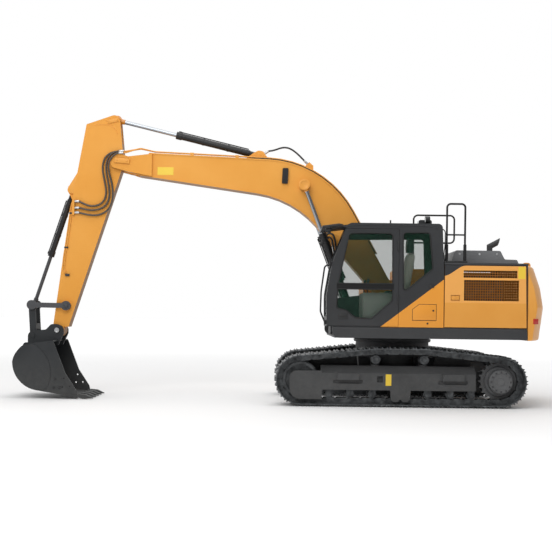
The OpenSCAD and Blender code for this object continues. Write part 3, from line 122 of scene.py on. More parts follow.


# each field is a mask and the colour inside it: a second paint, painted light or painted shade
def enamel(name, look, fields=()):
    material, tree, coords = startMaterial(name)
    patches = addNode(tree, "ShaderNodeTexNoise", {
        "Vector": coords, "Scale": look["patchScale"], "Detail": 5.0})
    ramp = addNode(tree, "ShaderNodeValToRGB", {"Fac": patches.outputs["Fac"]})
    shades = (look["dark"], look["light"])
    for stop, end, shade in zip(ramp.color_ramp.elements, sprayed["patchEnds"], shades):
        stop.position = end
        stop.color = hexColor(shade)
    color = ramp.outputs["Color"]
    place = addNode(tree, "ShaderNodeSeparateXYZ", {"Vector": coords}).outputs
    for field in fields:
        mask = field["where"](tree, place)
        second = addNode(tree, "ShaderNodeMix", {
            "Factor": mask, "A": color, "B": hexColor(field["color"])}, data_type="RGBA")
        color = second.outputs["Result"]
    low = addNode(tree, "ShaderNodeMapRange", {
        "Value": place["Z"], "From Min": 0.0, "From Max": look["dustTop"],
        "To Min": look["dust"], "To Max": 0.0})
    specks = addNode(tree, "ShaderNodeTexNoise", {
        "Vector": coords, "Scale": sprayed["speckScale"], "Detail": 8.0, "Roughness": 0.7})
    dusty = addNode(tree, "ShaderNodeMath", {
        0: low.outputs["Result"], 1: specks.outputs["Fac"]}, operation="MULTIPLY")
    tint = addNode(tree, "ShaderNodeMix", {
        "Factor": dusty.outputs["Value"], "A": color, "B": hexColor(sprayed["dust"])}, data_type="RGBA")
    # painted shade: faces turned toward the look's direction are mixed toward dark brown
    if "paintedShadeFacing" in look:
        facing = addNode(tree, "ShaderNodeNewGeometry").outputs["Normal"]
        turned = addNode(tree, "ShaderNodeVectorMath", {0: facing, 1: look["paintedShadeFacing"]}, operation="DOT_PRODUCT")
        paintedShade = addNode(tree, "ShaderNodeMapRange", {
            "Value": turned.outputs["Value"], "From Min": sprayed["paintedShadeTurn"][0],
            "From Max": sprayed["paintedShadeTurn"][1], "To Min": 0.0, "To Max": sprayed["paintedShadeCover"]})
        tint = addNode(tree, "ShaderNodeMix", {
            "Factor": paintedShade.outputs["Result"], "A": tint.outputs["Result"], "B": hexColor(sprayed["paintedShade"])},
            data_type="RGBA")
    gloss = addNode(tree, "ShaderNodeMapRange", {
        "Value": specks.outputs["Fac"], "To Min": look["rough"] + sprayed["glossSpread"][0],
        "To Max": look["rough"] + sprayed["glossSpread"][1]})
    peel = addNode(tree, "ShaderNodeTexNoise", {
        "Vector": coords, "Scale": sprayed["peelScale"], "Detail": 2.0})
    bump = addNode(tree, "ShaderNodeBump", {
        "Height": peel.outputs["Fac"], "Strength": look["peel"], "Distance": sprayed["peelDepth"]})
    shader = addNode(tree, "ShaderNodeBsdfPrincipled", {
        "Base Color": tint.outputs["Result"], "Roughness": gloss.outputs["Result"],
        "Normal": bump.outputs["Normal"], "Coat Weight": look["coat"],
        "Coat Roughness": sprayed["coatRough"], "Specular IOR Level": look["shine"], "Metallic": 0.0})
    return finishMaterial(material, shader)


# mask of a band of values
def between(tree, value, low, high):
    above = addNode(tree, "ShaderNodeMath", {0: value, 1: low}, operation="GREATER_THAN")
    under = addNode(tree, "ShaderNodeMath", {0: value, 1: high}, operation="LESS_THAN")
    both = addNode(tree, "ShaderNodeMath", {
        0: above.outputs["Value"], 1: under.outputs["Value"]}, operation="MULTIPLY")
    return both.outputs["Value"]


sweepLine = dict(slope=0.7638, start=(-0.307, 1.283), side=-0.9)
windowBelt = dict(x=(-1.03, -0.13), z=(1.846, 1.944))
cornerCurve = dict(x=(0.65, 1.0), z=(2.075, 2.24))
rearDoor = dict(crease=1.655, mesh=(-1.2395, -1.229))


# orange field on the cab's left side, under a line that rises to the rear
def underSweep(tree, place):
    base = sweepLine["start"][1] - sweepLine["slope"] * (slewX + sweepLine["start"][0])
    line = addNode(tree, "ShaderNodeMath", {
        0: place["X"], 1: sweepLine["slope"], 2: base}, operation="MULTIPLY_ADD")
    under = addNode(tree, "ShaderNodeMath", {0: place["Z"], 1: line.outputs["Value"]}, operation="LESS_THAN")
    left = addNode(tree, "ShaderNodeMath", {0: place["Y"], 1: sweepLine["side"]}, operation="LESS_THAN")
    both = addNode(tree, "ShaderNodeMath", {
        0: under.outputs["Value"], 1: left.outputs["Value"]}, operation="MULTIPLY")
    return both.outputs["Value"]


# black belt of the sliding window on the cab's door
def onBelt(tree, place):
    height = between(tree, place["Z"], *windowBelt["z"])
    length = between(tree, place["X"], *[slewX + x for x in windowBelt["x"]])
    return addNode(tree, "ShaderNodeMath", {0: height, 1: length}, operation="MULTIPLY").outputs["Value"]


# grey corner of the rear door, over a curve that runs out behind the cab
def rearCorner(tree, place):
    curve = addNode(tree, "ShaderNodeMapRange", {
        "Value": place["X"], "From Min": slewX + cornerCurve["x"][0], "From Max": slewX + cornerCurve["x"][1],
        "To Min": cornerCurve["z"][0], "To Max": cornerCurve["z"][1]}, interpolation_type="SMOOTHSTEP")
    over = addNode(tree, "ShaderNodeMath", {
        0: place["Z"], 1: curve.outputs["Result"]}, operation="GREATER_THAN")
    return over.outputs["Value"]


# painted light: the upper half of the rear door, above the crease, is a lighter orange for the light that
# falls on it
def paintedLightAboveCrease(tree, place):
    over = addNode(tree, "ShaderNodeMath", {0: place["Z"], 1: rearDoor["crease"]}, operation="GREATER_THAN")
    return over.outputs["Value"]


# painted shade: the set-back mesh of the rear door is a dark orange for the shade behind it
def paintedShadeOnMesh(tree, place):
    return between(tree, place["Y"], *rearDoor["mesh"])


orangeLook = dict(light="#e2a14d", dark="#d9953f", patchScale=0.9, dust=0.1, dustTop=1.6,
                  rough=0.38, peel=0.05, coat=0.08, shine=0.2)
greyLook = dict(light="#343537", dark="#2c2d2f", patchScale=1.4, dust=0.2, dustTop=1.8,
                rough=0.48, peel=0.08, coat=0.0, shine=0.25)
gearLook = dict(orangeLook, coat=0.0, shine=0.1)
panelOrange = dict(color="#e09536", where=underSweep)
orangeEnamel = enamel("orangeEnamel", orangeLook)
panelEnamel = enamel("panelEnamel", dict(orangeLook, light="#e0973a", dark="#dc9135"))
# painted shade in dark brown on the boom's underside
boomEnamel = enamel("boomEnamel", dict(gearLook, paintedShadeFacing=(0.0, 0.0, -1.0)))  # its underside
# painted shade in dark brown on the arm's face toward the cab
armEnamel = enamel("armEnamel", dict(gearLook, paintedShadeFacing=(0.9, 0.0, -0.44)))  # the face toward the cab
charcoalEnamel = enamel("charcoalEnamel", greyLook)
cabEnamel = enamel("twoToneCabEnamel", greyLook, [panelOrange])
doorEnamel = enamel("twoToneDoorEnamel", greyLook, [panelOrange, dict(color="#141415", where=onBelt)])
# rear door: the grey corner is two-tone paint, the lighter upper half is painted light and the dark mesh is
# painted shade
rearEnamel = enamel("twoToneRearEnamel", orangeLook, [
    dict(color="#e6a455", where=paintedLightAboveCrease), dict(color="#343537", where=rearCorner),
    dict(color="#96602a", where=paintedShadeOnMesh)])
hoodEnamel = enamel("hoodEnamel", dict(greyLook, light="#7a7b7d", dark="#6e6f71"))
skirtEnamel = enamel("skirtEnamel", dict(greyLook, light="#3a3b3d", dark="#343537"))
frameEnamel = enamel("frameEnamel", dict(
    greyLook, light="#424345", dark="#37383a", patchScale=1.8, dust=0.35, dustTop=1.1,
    rough=0.5, peel=0.1))
hubEnamel = enamel("hubEnamel", dict(
    greyLook, light="#58595b", dark="#4b4c4e", patchScale=3.0, dust=0.3, dustTop=1.0,
    rough=0.5, peel=0.1, shine=0.3))
blackEnamel = enamel("blackEnamel", dict(
    greyLook, light="#232324", dark="#19191a", patchScale=2.0, dust=0.1, dustTop=1.5,
    rough=0.33, peel=0.05, shine=0.3))
bucketEnamel = enamel("bucketEnamel", dict(
    greyLook, light="#313335", dark="#292b2d", patchScale=2.2, dust=0.3, dustTop=0.8,
    rough=0.5, peel=0.12))
linkEnamel = enamel("linkEnamel", dict(
    greyLook, light="#46474a", dark="#3b3c3e", patchScale=2.2, dust=0.1, dustTop=0.8,
    rough=0.45, peel=0.1, shine=0.4))
exhaustEnamel = enamel("heatproofBlack", dict(
    greyLook, light="#3e3e3f", dark="#303031", patchScale=5.0, dust=0.0, dustTop=1.0,
    rough=0.6, peel=0.1, shine=0.3))

# forged, cast or plated steel: dark scale with bright rub marks about 110 mm apart, and a grit of 11 mm
worn = dict(ends=(0.35, 0.7), cloudScale=9.0, gritScale=90.0, gritDepth=0.004, glossSpread=(0.15, -0.1))


def wornSteel(name, look):
    material, tree, coords = startMaterial(name)
    cloud = addNode(tree, "ShaderNodeTexNoise", {
        "Vector": coords, "Scale": worn["cloudScale"], "Detail": 9.0, "Roughness": 0.65})
    ramp = addNode(tree, "ShaderNodeValToRGB", {"Fac": cloud.outputs["Fac"]})
    for stop, end, shade in zip(ramp.color_ramp.elements, worn["ends"], (look["dark"], look["light"])):
        stop.position = end
        stop.color = hexColor(shade)
    grit = addNode(tree, "ShaderNodeTexNoise", {"Vector": coords, "Scale": worn["gritScale"], "Detail": 6.0})
    bump = addNode(tree, "ShaderNodeBump", {
        "Height": grit.outputs["Fac"], "Strength": look["grit"], "Distance": worn["gritDepth"]})
    gloss = addNode(tree, "ShaderNodeMapRange", {
        "Value": cloud.outputs["Fac"], "To Min": look["rough"] + worn["glossSpread"][0],
        "To Max": look["rough"] + worn["glossSpread"][1]})
    shader = addNode(tree, "ShaderNodeBsdfPrincipled", {
        "Base Color": ramp.outputs["Color"], "Roughness": gloss.outputs["Result"],
        "Normal": bump.outputs["Normal"], "Metallic": look["metal"]})
    return finishMaterial(material, shader)


trackSteel = wornSteel("forgedTrackSteel", dict(
    dark="#2a2c2e", light="#66696b", rough=0.5, metal=0.35, grit=0.3))
castIron = wornSteel("castIron", dict(
    dark="#3a3a3b", light="#545456", rough=0.6, metal=0.4, grit=0.3))
zincSteel = wornSteel("zincPlatedSteel", dict(
    dark="#a9aaab", light="#d2d3d4", rough=0.3, metal=0.9, grit=0.05))

# hard chrome on a ground rod: near mirror with fine marks of 17 mm; the eye at its end is painted
chrome = dict(bare="#9a9ea3", paint="#c9832c", markScale=60.0, rough=(0.1, 0.24))


def chromePlate(name, eye, reach):
    material, tree, coords = startMaterial(name)
    marks = addNode(tree, "ShaderNodeTexNoise", {
        "Vector": coords, "Scale": chrome["markScale"], "Detail": 3.0})
    gloss = addNode(tree, "ShaderNodeMapRange", {
        "Value": marks.outputs["Fac"], "To Min": chrome["rough"][0], "To Max": chrome["rough"][1]})
    flat = addNode(tree, "ShaderNodeVectorMath", {0: coords, 1: (1.0, 0.0, 1.0)}, operation="MULTIPLY")
    away = addNode(tree, "ShaderNodeVectorMath", {
        0: flat.outputs["Vector"], 1: (slewX + eye[0], 0.0, eye[1])}, operation="DISTANCE")
    past = addNode(tree, "ShaderNodeMath", {0: away.outputs["Value"], 1: reach}, operation="GREATER_THAN")
    bare = past.outputs["Value"]
    color = addNode(tree, "ShaderNodeMix", {
        "Factor": bare, "A": hexColor(chrome["paint"]), "B": hexColor(chrome["bare"])}, data_type="RGBA")
    shader = addNode(tree, "ShaderNodeBsdfPrincipled", {
        "Base Color": color.outputs["Result"], "Metallic": bare, "Roughness": gloss.outputs["Result"]})
    return finishMaterial(material, shader)


rodChrome = chromePlate("hardChromeLift", liftPin, reach=0.12)
armRodChrome = chromePlate("hardChromeCrowd", crowdPin, reach=0.13)

# toughened glass with a green tint, thin enough to see the chair through, and smears a third of a metre wide
glassLook = dict(tint="#1c4232", cover=0.2, ior=1.45, smearScale=3.0, rough=(0.02, 0.06))


def tintedGlass(name):
    material, tree, coords = startMaterial(name)
    smear = addNode(tree, "ShaderNodeTexNoise", {
        "Vector": coords, "Scale": glassLook["smearScale"], "Detail": 4.0})
    gloss = addNode(tree, "ShaderNodeMapRange", {
        "Value": smear.outputs["Fac"], "To Min": glassLook["rough"][0], "To Max": glassLook["rough"][1]})
    shader = addNode(tree, "ShaderNodeBsdfPrincipled", {
        "Base Color": hexColor(glassLook["tint"]), "Roughness": gloss.outputs["Result"],
        "IOR": glassLook["ior"], "Alpha": glassLook["cover"], "Specular IOR Level": 0.5})
    return finishMaterial(material, shader)


cabPane = tintedGlass("tintedSafetyGlass")


# woven cloth: ribs 4 mm apart, and a soft sheen
def wovenCloth(name, color):
    material, tree, coords = startMaterial(name)
    weave = addNode(tree, "ShaderNodeTexWave", {"Vector": coords, "Scale": 75.0, "Distortion": 2.0})
    bump = addNode(tree, "ShaderNodeBump", {
        "Height": weave.outputs["Fac"], "Strength": 0.3, "Distance": 0.002})
    shader = addNode(tree, "ShaderNodeBsdfPrincipled", {
        "Base Color": hexColor(color), "Roughness": 0.9, "Normal": bump.outputs["Normal"],
        "Sheen Weight": 0.3})
    return finishMaterial(material, shader)


paleCloth = wovenCloth("paleSeatCloth", "#a7a69c")
darkCloth = wovenCloth("darkSeatCloth", "#323335")


# moulded rubber or plastic, with a grain of about 5 mm, coarser than a real one, so that it shows
def moulded(name, color, rough):
    material, tree, coords = startMaterial(name)
    grain = addNode(tree, "ShaderNodeTexNoise", {"Vector": coords, "Scale": 220.0, "Detail": 2.0})
    bump = addNode(tree, "ShaderNodeBump", {
        "Height": grain.outputs["Fac"], "Strength": 0.12, "Distance": 0.001})
    shader = addNode(tree, "ShaderNodeBsdfPrincipled", {
        "Base Color": hexColor(color), "Roughness": rough, "Normal": bump.outputs["Normal"]})
    return finishMaterial(material, shader)


hoseRubber = moulded("hoseRubber", "#18181a", 0.45)
sleevedRubber = moulded("sleevedRubber", "#463f39", 0.4)
greyPlastic = moulded("greyPlastic", "#7c7e78", 0.5)
sealRubber = moulded("sealRubber", "#101011", 0.6)
blackPlastic = moulded("blackPlastic", "#1d1e1f", 0.5)
redPlastic = moulded("redReflector", "#b52a22", 0.25)
yellowFilm = moulded("yellowFilm", "#e6c33a", 0.35)
lampLens = moulded("lampLens", "#d9dcdc", 0.1)

finishes = {
    "chassis": frameEnamel,
    "track_steel": trackSteel,
    "orange_paint": orangeEnamel,
    "grey_paint": charcoalEnamel,
    "black_paint": blackEnamel,
    "rod_chrome": rodChrome,
    "steel": exhaustEnamel,
    "engine_iron": castIron,
    "glass": cabPane,
    "hose_rubber": hoseRubber,
    "chair_cloth": darkCloth,
}
ownFinish = {
    "cab_frame": cabEnamel, "cab_door": doorEnamel, "left_door": rearEnamel, "engine_hood": hoodEnamel,
    "skirts": skirtEnamel, "boom": boomEnamel, "arm": armEnamel, "arm_rod": armRodChrome,
    "bucket": bucketEnamel, "bucket_teeth": bucketEnamel, "bucket_link": bucketEnamel,
    "bucket_rod": linkEnamel, "guide_links": linkEnamel,
    "sprocket_left": hubEnamel, "sprocket_right": hubEnamel,
}
for part in frame["record"]["subparts"]:
    mesh = nodes[part["node"]].data
    mesh.materials.clear()
    mesh.materials.append(ownFinish.get(part["node"], finishes[part["material_slot"]]))
print("finishes set")


sameWay = 0.95  # cosine from which a face counts as turned one way
capEdge = 0.3  # a turned cap's rounding, as a share of its smallest size
boltLook = dict(edge=0.12, washer=1.35, washerHeight=0.3, washerLip=0.3, washerSink=0.05)  # shares too


def pick(*pieces):
    bpy.ops.object.select_all(action="DESELECT")
    for piece in pieces:
        piece.select_set(True)
    bpy.context.view_layer.objects.active = pieces[0]


def joined(pieces):
    pick(*pieces)
    if len(pieces) > 1:
        bpy.ops.object.join()
    return bpy.context.object


def applyModifier(piece, kind, **settings):
    modifier = piece.modifiers.new(kind.lower(), kind)
    for key, value in settings.items():
        setattr(modifier, key, value)
    pick(piece)
    bpy.ops.object.modifier_apply(modifier=modifier.name)


# goes into edit mode with only the faces that pass the test selected
def editFaces(piece, test):
    pick(piece)
    bpy.ops.object.mode_set(mode="EDIT")
    bpy.ops.mesh.select_mode(type="FACE")
    bpy.ops.mesh.select_all(action="DESELECT")
    bpy.ops.object.mode_set(mode="OBJECT")
    for face in piece.data.polygons:
        face.select = test(face)
    bpy.ops.object.mode_set(mode="EDIT")


# block between two corners with rounded edges
def roundedBlock(low, high, edge, steps=3):
    bpy.ops.mesh.primitive_cube_add(size=1, location=(Vector(low) + Vector(high)) / 2)
    piece = bpy.context.object
    piece.scale = Vector(high) - Vector(low)
    bpy.ops.object.transform_apply(location=True, rotation=True, scale=True)
    applyModifier(piece, "BEVEL", width=edge, segments=steps, limit_method="ANGLE")
    return piece


# one piece of several such blocks, each two corners from the slew axis and its edge's radius
def blockGroup(blocks):
    return joined([roundedBlock(spot(*low), spot(*high), edge) for low, high, edge in blocks])


# turned disc along Z with its rim rounded and its face sunk inside a lip
def turnedCap(radius, height, lip, sink):
    middle = (0, 0, height / 2)
    bpy.ops.mesh.primitive_cylinder_add(vertices=32, radius=radius, depth=height, location=middle)
    piece = bpy.context.object
    bpy.ops.object.transform_apply(location=True, rotation=True, scale=True)
    editFaces(piece, lambda face: face.normal.z > sameWay)
    bpy.ops.mesh.inset(thickness=lip)
    bpy.ops.mesh.extrude_region_move(TRANSFORM_OT_translate={"value": (0, 0, -sink)})
    bpy.ops.object.mode_set(mode="OBJECT")
    applyModifier(piece, "BEVEL", width=min(lip, sink, height) * capEdge, segments=2, limit_method="ANGLE")
    return piece


# six-sided bolt head on its washer, along Z
def boltHead(radius, height):
    middle = (0, 0, height / 2)
    bpy.ops.mesh.primitive_cylinder_add(vertices=6, radius=radius, depth=height, location=middle)
    head = bpy.context.object
    bpy.ops.object.transform_apply(location=True, rotation=True, scale=True)
    applyModifier(head, "BEVEL", width=radius * boltLook["edge"], segments=2, limit_method="ANGLE")
    washer = turnedCap(radius * boltLook["washer"], height * boltLook["washerHeight"],
                       radius * boltLook["washerLip"], height * boltLook["washerSink"])
    return joined([head, washer])


# copy with a mesh of its own, turned from Z to the axis and moved to the place
def copyAt(pattern, place, axis):
    twin = pattern.copy()
    twin.data = pattern.data.copy()
    scene.collection.objects.link(twin)
    turn = Vector((0, 0, 1)).rotation_difference(Vector(axis)).to_matrix().to_4x4()
    twin.data.transform(Matrix.Translation(Vector(place)) @ turn)
    return twin


# copies of a pattern at many places, as one piece; the pattern itself goes
def spread(pattern, places):
    made = joined([copyAt(pattern, place, axis) for place, axis in places])
    bpy.data.objects.remove(pattern)
    return made


# a place on each side of the machine, facing out
def outward(x, half, z):
    return [(spot(x, side * half, z), (0, side, 0)) for side, name in sides]


# smooth round tube through the points of a route
def tube(route, radius):
    curve = bpy.data.curves.new("tube", "CURVE")
    curve.dimensions = "3D"
    curve.bevel_depth = radius
    curve.bevel_resolution = 4
    curve.resolution_u = 5
    curve.use_fill_caps = True
    spline = curve.splines.new("BEZIER")
    spline.bezier_points.add(len(route) - 1)
    for point, place in zip(spline.bezier_points, route):
        point.co = place
        point.handle_left_type = point.handle_right_type = "AUTO"
    holder = bpy.data.objects.new("tube", curve)
    scene.collection.objects.link(holder)
    pick(holder)
    bpy.ops.object.convert(target="MESH")
    return bpy.context.object


# tube in one upright plane, its route in X and Z
def flatTube(route, y, radius):
    return tube([spot(x, y, z) for x, z in route], radius)


# plate cut to an outline of places in X and Z, thick from y0 to y1, with its edges broken
def cutPlate(corners, y0, y1, edge=0.002):
    curve = bpy.data.curves.new("plate", "CURVE")
    curve.dimensions = "2D"
    curve.fill_mode = "BOTH"
    curve.extrude = (y1 - y0) / 2 - edge
    curve.bevel_depth = edge
    curve.bevel_resolution = 1
    curve.offset = -edge
    spline = curve.splines.new("POLY")
    spline.points.add(len(corners) - 1)
    for point, (x, z) in zip(spline.points, corners):
        point.co = (x + slewX, z, 0, 1)
    spline.use_cyclic_u = True
    holder = bpy.data.objects.new("plate", curve)
    scene.collection.objects.link(holder)
    pick(holder)
    bpy.ops.object.convert(target="MESH")
    plate = bpy.context.object
    upright = Matrix.Rotation(math.radians(90), 4, "X")
    plate.data.transform(Matrix.Translation((0, (y0 + y1) / 2, 0)) @ upright)
    pick(plate)
    bpy.ops.object.mode_set(mode="EDIT")
    bpy.ops.mesh.select_all(action="SELECT")
    bpy.ops.mesh.remove_doubles(threshold=0.0002)
    bpy.ops.mesh.normals_make_consistent(inside=False)
    bpy.ops.object.mode_set(mode="OBJECT")
    return plate


# outline of points given in millimetres from a pin
def fromPin(pin, corners):
    return [(pin[0] + x / 1000, pin[1] + z / 1000) for x, z in corners]


# the same plate on both sides of the machine
def bothSides(corners, inner, outer, edge=0.002):
    return joined([cutPlate(corners, inner, outer, edge), cutPlate(corners, -outer, -inner, edge)])


# names a piece, gives it its finish and smooths it
def dress(piece, name, material):
    piece.name = name
    pick(piece)
    bpy.ops.object.shade_smooth_by_angle(angle=math.radians(35))
    piece.data.materials.clear()
    piece.data.materials.append(material)
    return piece


def mounted(piece, name, body, material):
    dress(piece, name, material)
    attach(piece, body)
    return piece


# hydraulic hoses, mm from a pin: three from the boom's nose down to the arm, one from the boom's back to the
# arm cylinder
armHoses = dict(radius=0.016, collar=0.021, routes=[
    [(73, -145, 159), (23, -145, 159), (-27, -146, 159), (-137, -150, 134), (-227, -152, 69),
     (-272, -152, -31), (-282, -152, -141), (-267, -152, -251), (-242, -152, -371), (-222, -152, -491),
     (-227, -152, -591), (-262, -152, -681), (-332, -152, -741), (-422, -152, -766), (-517, -152, -760),
     (-607, -152, -725), (-687, -152, -691), (-747, -152, -691)],
    [(73, -185, 159), (23, -185, 159), (-27, -184, 154), (-117, -178, 119), (-182, -168, 49),
     (-215, -160, -41), (-222, -154, -141), (-209, -152, -251), (-185, -152, -371), (-167, -152, -491),
     (-165, -152, -591), (-187, -152, -686), (-242, -152, -766), (-327, -152, -816), (-427, -152, -836),
     (-527, -152, -832), (-617, -152, -812), (-687, -152, -801), (-747, -152, -801)],
    [(73, -228, 124), (23, -228, 124), (-27, -228, 113), (-96, -228, 70), (-150, -226, -4),
     (-174, -205, -96), (-170, -176, -191), (-148, -156, -291), (-122, -152, -401), (-109, -152, -511),
     (-109, -152, -621), (-132, -152, -726), (-185, -152, -821), (-267, -152, -886), (-362, -152, -919),
     (-462, -152, -922), (-607, -152, -898), (-687, -152, -881), (-747, -152, -881)]])
crowdHose = dict(radius=0.015, collar=0.02, y=-0.0815, route=[
    (-1420, 2270), (-1485, 2335), (-1555, 2405), (-1630, 2470), (-1705, 2518), (-1785, 2542), (-1870, 2535),
    (-1950, 2508), (-2020, 2488), (-2085, 2476), (-2143, 2438)])
collarLook = dict(length=0.075, lip=0.15, sink=0.004)


# crimped steel collar on a hose's end, pointing back along it
def crimp(end, inner, radius, body, name):
    back = (Vector(inner) - Vector(end)).normalized()
    collar = turnedCap(radius, collarLook["length"], radius * collarLook["lip"], collarLook["sink"])
    mounted(spread(collar, [(end, back)]), name, body, zincSteel)


for index, route in enumerate(armHoses["routes"]):
    points = [spot(nosePin[0] + x / 1000, y / 1000, nosePin[1] + z / 1000) for x, y, z in route]
    hose = dress(tube(points, armHoses["radius"]), f"armHose{index + 1}", sleevedRubber)
    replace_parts(hose, "hoses")
    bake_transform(hose)
    crimp(points[0], points[1], armHoses["collar"], "boom", f"armHoseTopCollar{index + 1}")
    crimp(points[-1], points[-2], armHoses["collar"], "arm", f"armHoseLowCollar{index + 1}")
points = [spot(x, crowdHose["y"], z) for x, z in fromPin(boomPin, crowdHose["route"])]
hose = mounted(tube(points, crowdHose["radius"]), "crowdHose", "boom", hoseRubber)
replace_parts(hose, "hoses")
crimp(points[0], points[1], crowdHose["collar"], "boom", "crowdHoseLowCollar")
crimp(points[-1], points[-2], crowdHose["collar"], "boom", "crowdHoseTopCollar")
print("hoses made")


# foam block: a cube drawn part of the way to a ball, with a crown on the chosen side
def softBlock(size, roundness, crown, crownAxis):
    bpy.ops.mesh.primitive_cube_add(size=2)
    piece = bpy.context.object
    bpy.ops.object.mode_set(mode="EDIT")
    bpy.ops.mesh.subdivide(number_cuts=11)
    bpy.ops.object.mode_set(mode="OBJECT")
    for vertex in piece.data.vertices:
        u, v, w = vertex.co
        ball = Vector((u * math.sqrt(1 - v * v / 2 - w * w / 2 + v * v * w * w / 3),
                       v * math.sqrt(1 - u * u / 2 - w * w / 2 + u * u * w * w / 3),
                       w * math.sqrt(1 - u * u / 2 - v * v / 2 + u * u * v * v / 3)))
        place = vertex.co.lerp(ball, roundness)
        flat = [c for axis, c in enumerate((u, v, w)) if axis != crownAxis]
        lift = crown * (1 - flat[0] ** 2) * (1 - flat[1] ** 2)
        place = Vector([c * full / 2 for c, full in zip(place, size)])
        place[crownAxis] += lift * (u, v, w)[crownAxis]
        vertex.co = place
    applyModifier(piece, "SUBSURF", levels=1)
    return piece


# chair: cushion, tilted back and headrest of foam
cushions = [
    dict(name="chairCushion", size=(0.55, 0.49, 0.13), x=-0.215, z=1.628, tilt=2.0,
         crown=0.012, axis=2, cloth=paleCloth),
    dict(name="chairBack", size=(0.125, 0.47, 0.87), x=0.118, z=2.03, tilt=9.4,
         crown=0.01, axis=0, cloth=paleCloth),
    dict(name="chairHeadrest", size=(0.115, 0.26, 0.23), x=0.174, z=2.565, tilt=2.0,
         crown=0.006, axis=0, cloth=darkCloth),
]
foamRoundness = 0.32
for soft in cushions:
    piece = softBlock(soft["size"], foamRoundness, soft["crown"], soft["axis"])
    lean = Matrix.Rotation(math.radians(soft["tilt"]), 4, "Y")
    piece.data.transform(Matrix.Translation(spot(soft["x"], cabMid, soft["z"])) @ lean)
    mounted(piece, soft["name"], "upper", soft["cloth"])
    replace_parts(piece, "operator_chair")

# its sprung pedestal, and a console with a lever at each hand
chair = dict(floor=1.305, edge=0.03, pedestalX=(-0.39, 0.01), pedestalHalf=0.18, pedestalTop=1.57,
             consoleX=(-0.61, -0.13), consoleY=(0.265, 0.335), consoleTop=1.80, leverY=0.3)
stick = dict(radius=0.009, route=[(-0.53, 1.78), (-0.535, 1.86), (-0.53, 1.92)])
grip = dict(radius=0.02, route=[(-0.53, 1.90), (-0.528, 1.95), (-0.515, 2.02)])
front, rear = chair["pedestalX"]
pedestal = roundedBlock(spot(front, cabMid - chair["pedestalHalf"], chair["floor"]),
                        spot(rear, cabMid + chair["pedestalHalf"], chair["pedestalTop"]), chair["edge"])
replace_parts(mounted(pedestal, "chairPedestal", "upper", greyPlastic), "operator_chair")
for side, name in sides:
    inner, outer = sorted(cabMid + side * y for y in chair["consoleY"])
    console = roundedBlock(spot(chair["consoleX"][0], inner, chair["floor"]),
                           spot(chair["consoleX"][1], outer, chair["consoleTop"]), chair["edge"])
    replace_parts(mounted(console, "console" + name, "upper", greyPlastic), "operator_chair")
    middle = cabMid + side * chair["leverY"]
    lever = joined([flatTube(rod["route"], middle, rod["radius"]) for rod in (stick, grip)])
    mounted(lever, "lever" + name, "upper", blackPlastic)
print("chair made")


# rubber frame round the outline of each pane that faces one way
def windowSeal(node, facing, radius, lift):
    pick(nodes[node])
    bpy.ops.object.duplicate()
    seal = bpy.context.object
    bpy.ops.object.parent_clear(type="CLEAR_KEEP_TRANSFORM")
    for key in list(seal.keys()):
        del seal[key]
    bpy.ops.object.mode_set(mode="EDIT")
    bpy.ops.mesh.select_all(action="SELECT")
    bpy.ops.mesh.remove_doubles(threshold=0.0005)
    bpy.ops.object.mode_set(mode="OBJECT")
    editFaces(seal, lambda face: face.normal.dot(Vector(facing)) > sameWay)
    bpy.ops.mesh.select_all(action="INVERT")
    bpy.ops.mesh.delete(type="FACE")
    bpy.ops.mesh.select_all(action="SELECT")
    bpy.ops.mesh.region_to_loop()
    bpy.ops.mesh.select_all(action="INVERT")
    bpy.ops.mesh.delete(type="EDGE")
    bpy.ops.mesh.select_mode(type="VERT")
    bpy.ops.object.mode_set(mode="OBJECT")
    seal.data.transform(Matrix.Translation(Vector(facing) * lift))
    pick(seal)
    bpy.ops.object.convert(target="CURVE")
    seal.data.bevel_depth = radius
    seal.data.bevel_resolution = 2
    bpy.ops.object.convert(target="MESH")
    return bpy.context.object


sealLook = dict(radius=0.011, lift=0.013)
seals = [
    dict(name="doorSeal", pane="door_glass", facing=(0, -1, 0), body="cab_door"),
    dict(name="rearPaneSeal", pane="cab_glass", facing=(0, -1, 0), body="upper"),
    dict(name="rightPaneSeal", pane="cab_glass", facing=(0, 1, 0), body="upper"),
]
for item in seals:
    seal = windowSeal(item["pane"], item["facing"], sealLook["radius"], sealLook["lift"])
    mounted(seal, item["name"], item["body"], sealRubber)
print("seals made")

# fittings made of rounded blocks: the cab's side, the arm's lines and the left door
blackTrim = dict(body="upper", paint=blackPlastic, slot="hose_rubber")
orangeTrim = dict(paint=orangeEnamel, slot="orange_paint")
blockFittings = [
    dict(blackTrim, name="doorHandle", body="cab_door", blocks=[
        ((-1.0, -1.256, 1.371), (-0.848, -1.249, 1.478), 0.003),
        ((-0.985, -1.266, 1.412), (-0.875, -1.254, 1.442), 0.005)]),
    dict(blackTrim, name="doorHinges", blocks=[
        ((-0.078, -1.268, z), (-0.052, -1.248, z + 0.15), 0.006) for z in (2.455, 1.62)]),
    dict(blackTrim, name="doorCatch", blocks=[
        ((0.423, -1.266, 1.884), (0.5, -1.249, 1.928), 0.006)]),
    dict(blackTrim, name="armLineClips", body="arm", blocks=[
        ((x - 0.015, -0.147, z - 0.014), (x + 0.052, -0.12, z + 0.014), 0.005)
        for x, z in ((-5.478, 3.10), (-5.556, 2.52))]),
    dict(name="armLineLug", body="arm", paint=exhaustEnamel, slot="grey_paint", blocks=[
        ((-5.55, -0.15, 2.035), (-5.475, -0.12, 2.075), 0.008)]),
    dict(orangeTrim, name="leftDoorLatch", body="left_door", blocks=[
        ((0.775, -1.2515, 1.70), (0.898, -1.243, 1.762), 0.003),
        ((0.80, -1.2565, 1.718), (0.862, -1.2485, 1.744), 0.003)]),
]
for item in blockFittings:
    mounted(blockGroup(item["blocks"]), item["name"], item["body"], item["paint"])

